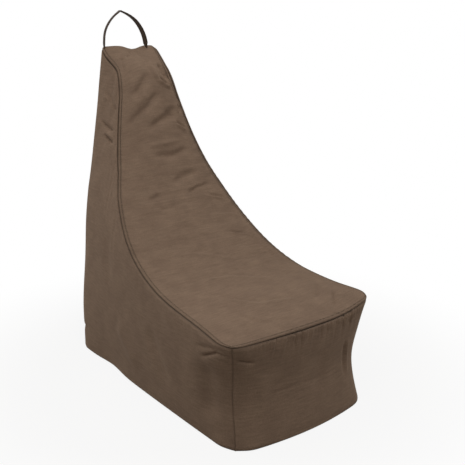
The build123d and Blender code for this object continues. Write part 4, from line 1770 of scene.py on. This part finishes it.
@dataclass
class Studio:
    """Pale floor, soft light and the camera at the photograph's viewing angle, in metres."""

    place: tuple = (-1.2377, -1.6980, 1.0445)
    back: tuple = (-0.58885, -0.75810, 0.28025)
    turn: float = -37.838
    lens: float = 58.84
    sensor: float = 36.0
    floor_half: float = 6.0
    floor_drop: float = 0.0005
    floor_colour: str = "#aea9a3"
    shadow_cover: float = 0.9
    shadow_reach: tuple = (0.45, 1.1)
    world: float = 0.10
    world_colour: str = "#fff0de"
    key: float = 27.0
    side: float = 20.0
    top: float = 22.0
    right: float = 9.0

    @staticmethod
    def _seen(tree: bpy.types.NodeTree) -> bpy.types.NodeSocket:
        """Add nodes that find the rays of the eye, of reflections and of clear materials.

        Args:
            tree: the tree that gets the nodes.

        Returns:
            An output that is 1 for those rays and 0 for the rays of light.
        """
        ray = add_node(tree, "ShaderNodeLightPath").outputs
        seen = ray["Is Camera Ray"]
        for kind in ("Is Glossy Ray", "Is Transmission Ray"):
            seen = add_node(tree, "ShaderNodeMath", {0: seen, 1: ray[kind]}, operation="MAXIMUM").outputs[0]
        return seen

    def camera(self) -> None:
        """Make the camera."""
        data = bpy.data.cameras.new("camera")
        data.lens = self.lens
        data.sensor_width = self.sensor
        data.clip_end = 100.0
        back = Vector(self.back).normalized()
        right = Vector((math.cos(math.radians(self.turn)), math.sin(math.radians(self.turn)), 0.0))
        matrix = Matrix((right, back.cross(right), back)).transposed().to_4x4()
        matrix.translation = Vector(self.place)
        made = add_object("camera", data)
        made.matrix_world = matrix
        bpy.context.scene.camera = made

    def floor(self) -> None:
        """Make the floor: white to the eye and to reflections, pale grey to light."""
        half, down = self.floor_half, -self.floor_drop
        corners = [(-half, -half, down), (half, -half, down), (half, half, down), (-half, half, down)]
        mesh = bpy.data.meshes.new("floor")
        mesh.from_pydata(corners, [], [(0, 1, 2, 3)])
        material, tree, lit = new_material("pale_floor")
        lit.inputs["Base Color"].default_value = linear(self.floor_colour)
        lit.inputs["Roughness"].default_value = 0.9
        lit.inputs["Specular IOR Level"].default_value = 0.0
        place = add_node(tree, "ShaderNodeTexCoord").outputs["Object"]
        far = add_node(tree, "ShaderNodeVectorMath", {0: place}, operation="LENGTH").outputs["Value"]
        near_end, far_end = self.shadow_reach
        fade = add_node(
            tree, "ShaderNodeMapRange",
            {"Value": far, "From Min": near_end, "From Max": far_end, "To Min": self.shadow_cover,
             "To Max": 1.0},
            interpolation_type="SMOOTHSTEP",
        ).outputs[0]
        share = add_node(
            tree, "ShaderNodeMath", {0: self._seen(tree), 1: fade}, operation="MULTIPLY",
        ).outputs[0]
        white = add_node(tree, "ShaderNodeEmission", {"Strength": 1.0}).outputs[0]
        mixed = add_node(tree, "ShaderNodeMixShader", {0: share, 1: lit.outputs[0], 2: white}).outputs[0]
        tree.links.new(mixed, tree.nodes["Material Output"].inputs["Surface"])
        mesh.materials.append(material)
        add_object("floor", mesh)

    def light(self) -> None:
        """Make the world's light and the soft lamps."""
        world = bpy.data.worlds.new("studio")
        bpy.context.scene.world = world
        world.use_nodes = True
        tree = world.node_tree
        seen = self._seen(tree)
        level = add_node(
            tree, "ShaderNodeMapRange", {"Value": seen, "To Min": self.world, "To Max": 1.0},
        ).outputs[0]
        glow = add_node(
            tree, "ShaderNodeMix", {0: seen, 6: linear(self.world_colour), 7: linear("#ffffff")},
            data_type="RGBA",
        ).outputs[2]
        tree.links.new(glow, tree.nodes["Background"].inputs["Color"])
        tree.links.new(level, tree.nodes["Background"].inputs["Strength"])
        for name, place, aim, size, power in (
            ("key", (-0.75, -1.05, 2.2), (0, 0.05, 0.45), 1.3, self.key),
            ("side", (-1.7, 1.9, 1.1), (0, 0, 0.4), 1.4, self.side),
            ("top", (0.3, 0.1, 3.4), (0, 0, 0.3), 2.0, self.top),
            ("right", (1.9, -1.5, 0.75), (0, -0.2, 0.25), 0.9, self.right),
        ):
            data = bpy.data.lights.new(name, "AREA")
            data.shape = "DISK"
            data.size = size
            data.energy = power
            lamp = add_object(name, data)
            lamp.location = place
            lamp.rotation_euler = (Vector(aim) - Vector(place)).to_track_quat("-Z", "Y").to_euler()

    def build(self) -> None:
        """Make all of the studio."""
        bpy.context.scene.view_settings.view_transform = "Standard"
        self.camera()
        self.floor()
        self.light()


def main() -> None:
    """Build the chair and its studio."""
    logging.basicConfig(level=logging.INFO, format="%(message)s")
    Studio().build()
    grids = Stuffing().press(BagForm().grids())
    # Brushed suede is dull and lies in short streaks, with painted shade in its seam creases and stitch
    # grooves
    cover = Cover()
    cover.build(grids, BrushedSuede().material())
    # Spun thread is paler than the cloth and shows as fine dashes along the seam
    thread = WovenCloth("spun_polyester_thread", "#a8927a", "#85715e", 0.6, flat_map=False)
    Topstitching().build(cover, thread.material())
    # Plain lining is a flat off-white
    lining = WovenCloth("plain_lining", "#dedcd6", "#c4c1b9", 2.0, flat_map=False)
    # Foamed beads are matte white balls, painted grey towards their edges as shade in the gaps between them
    beads = SolidFinish("polystyrene_beads", "#f2f1ec", "#c9c7c0", 4.0, 1.0, 0.9, Grain.CELLS)
    InnerBag().build(grids, lining.material(), beads.material())
    # The folded strap is a duller weave than the cover, and drawn darker: partly its own colour, partly
    # painted shade
    strap = WovenCloth("folded_strap", "#453322", "#2a1d11", 1.4, sheen=0.0)
    CarryHandle().build(strap.material())
    # Zip tape is a close dark weave, and moulded acetal and painted zinc have a slight shine
    tape = WovenCloth("woven_zip_tape", "#3a2d23", "#2a211a", 1.0)
    teeth = SolidFinish("moulded_acetal", "#33281f", "#2a211a", 1.5, 0.05, 0.4)
    slider = SolidFinish("painted_zinc", "#3b3026", "#32281f", 2.0, 0.05, 0.38)
    ZipFastener().build(tape.material(), teeth.material(), slider.material())


if __name__ == "__main__":
    main()
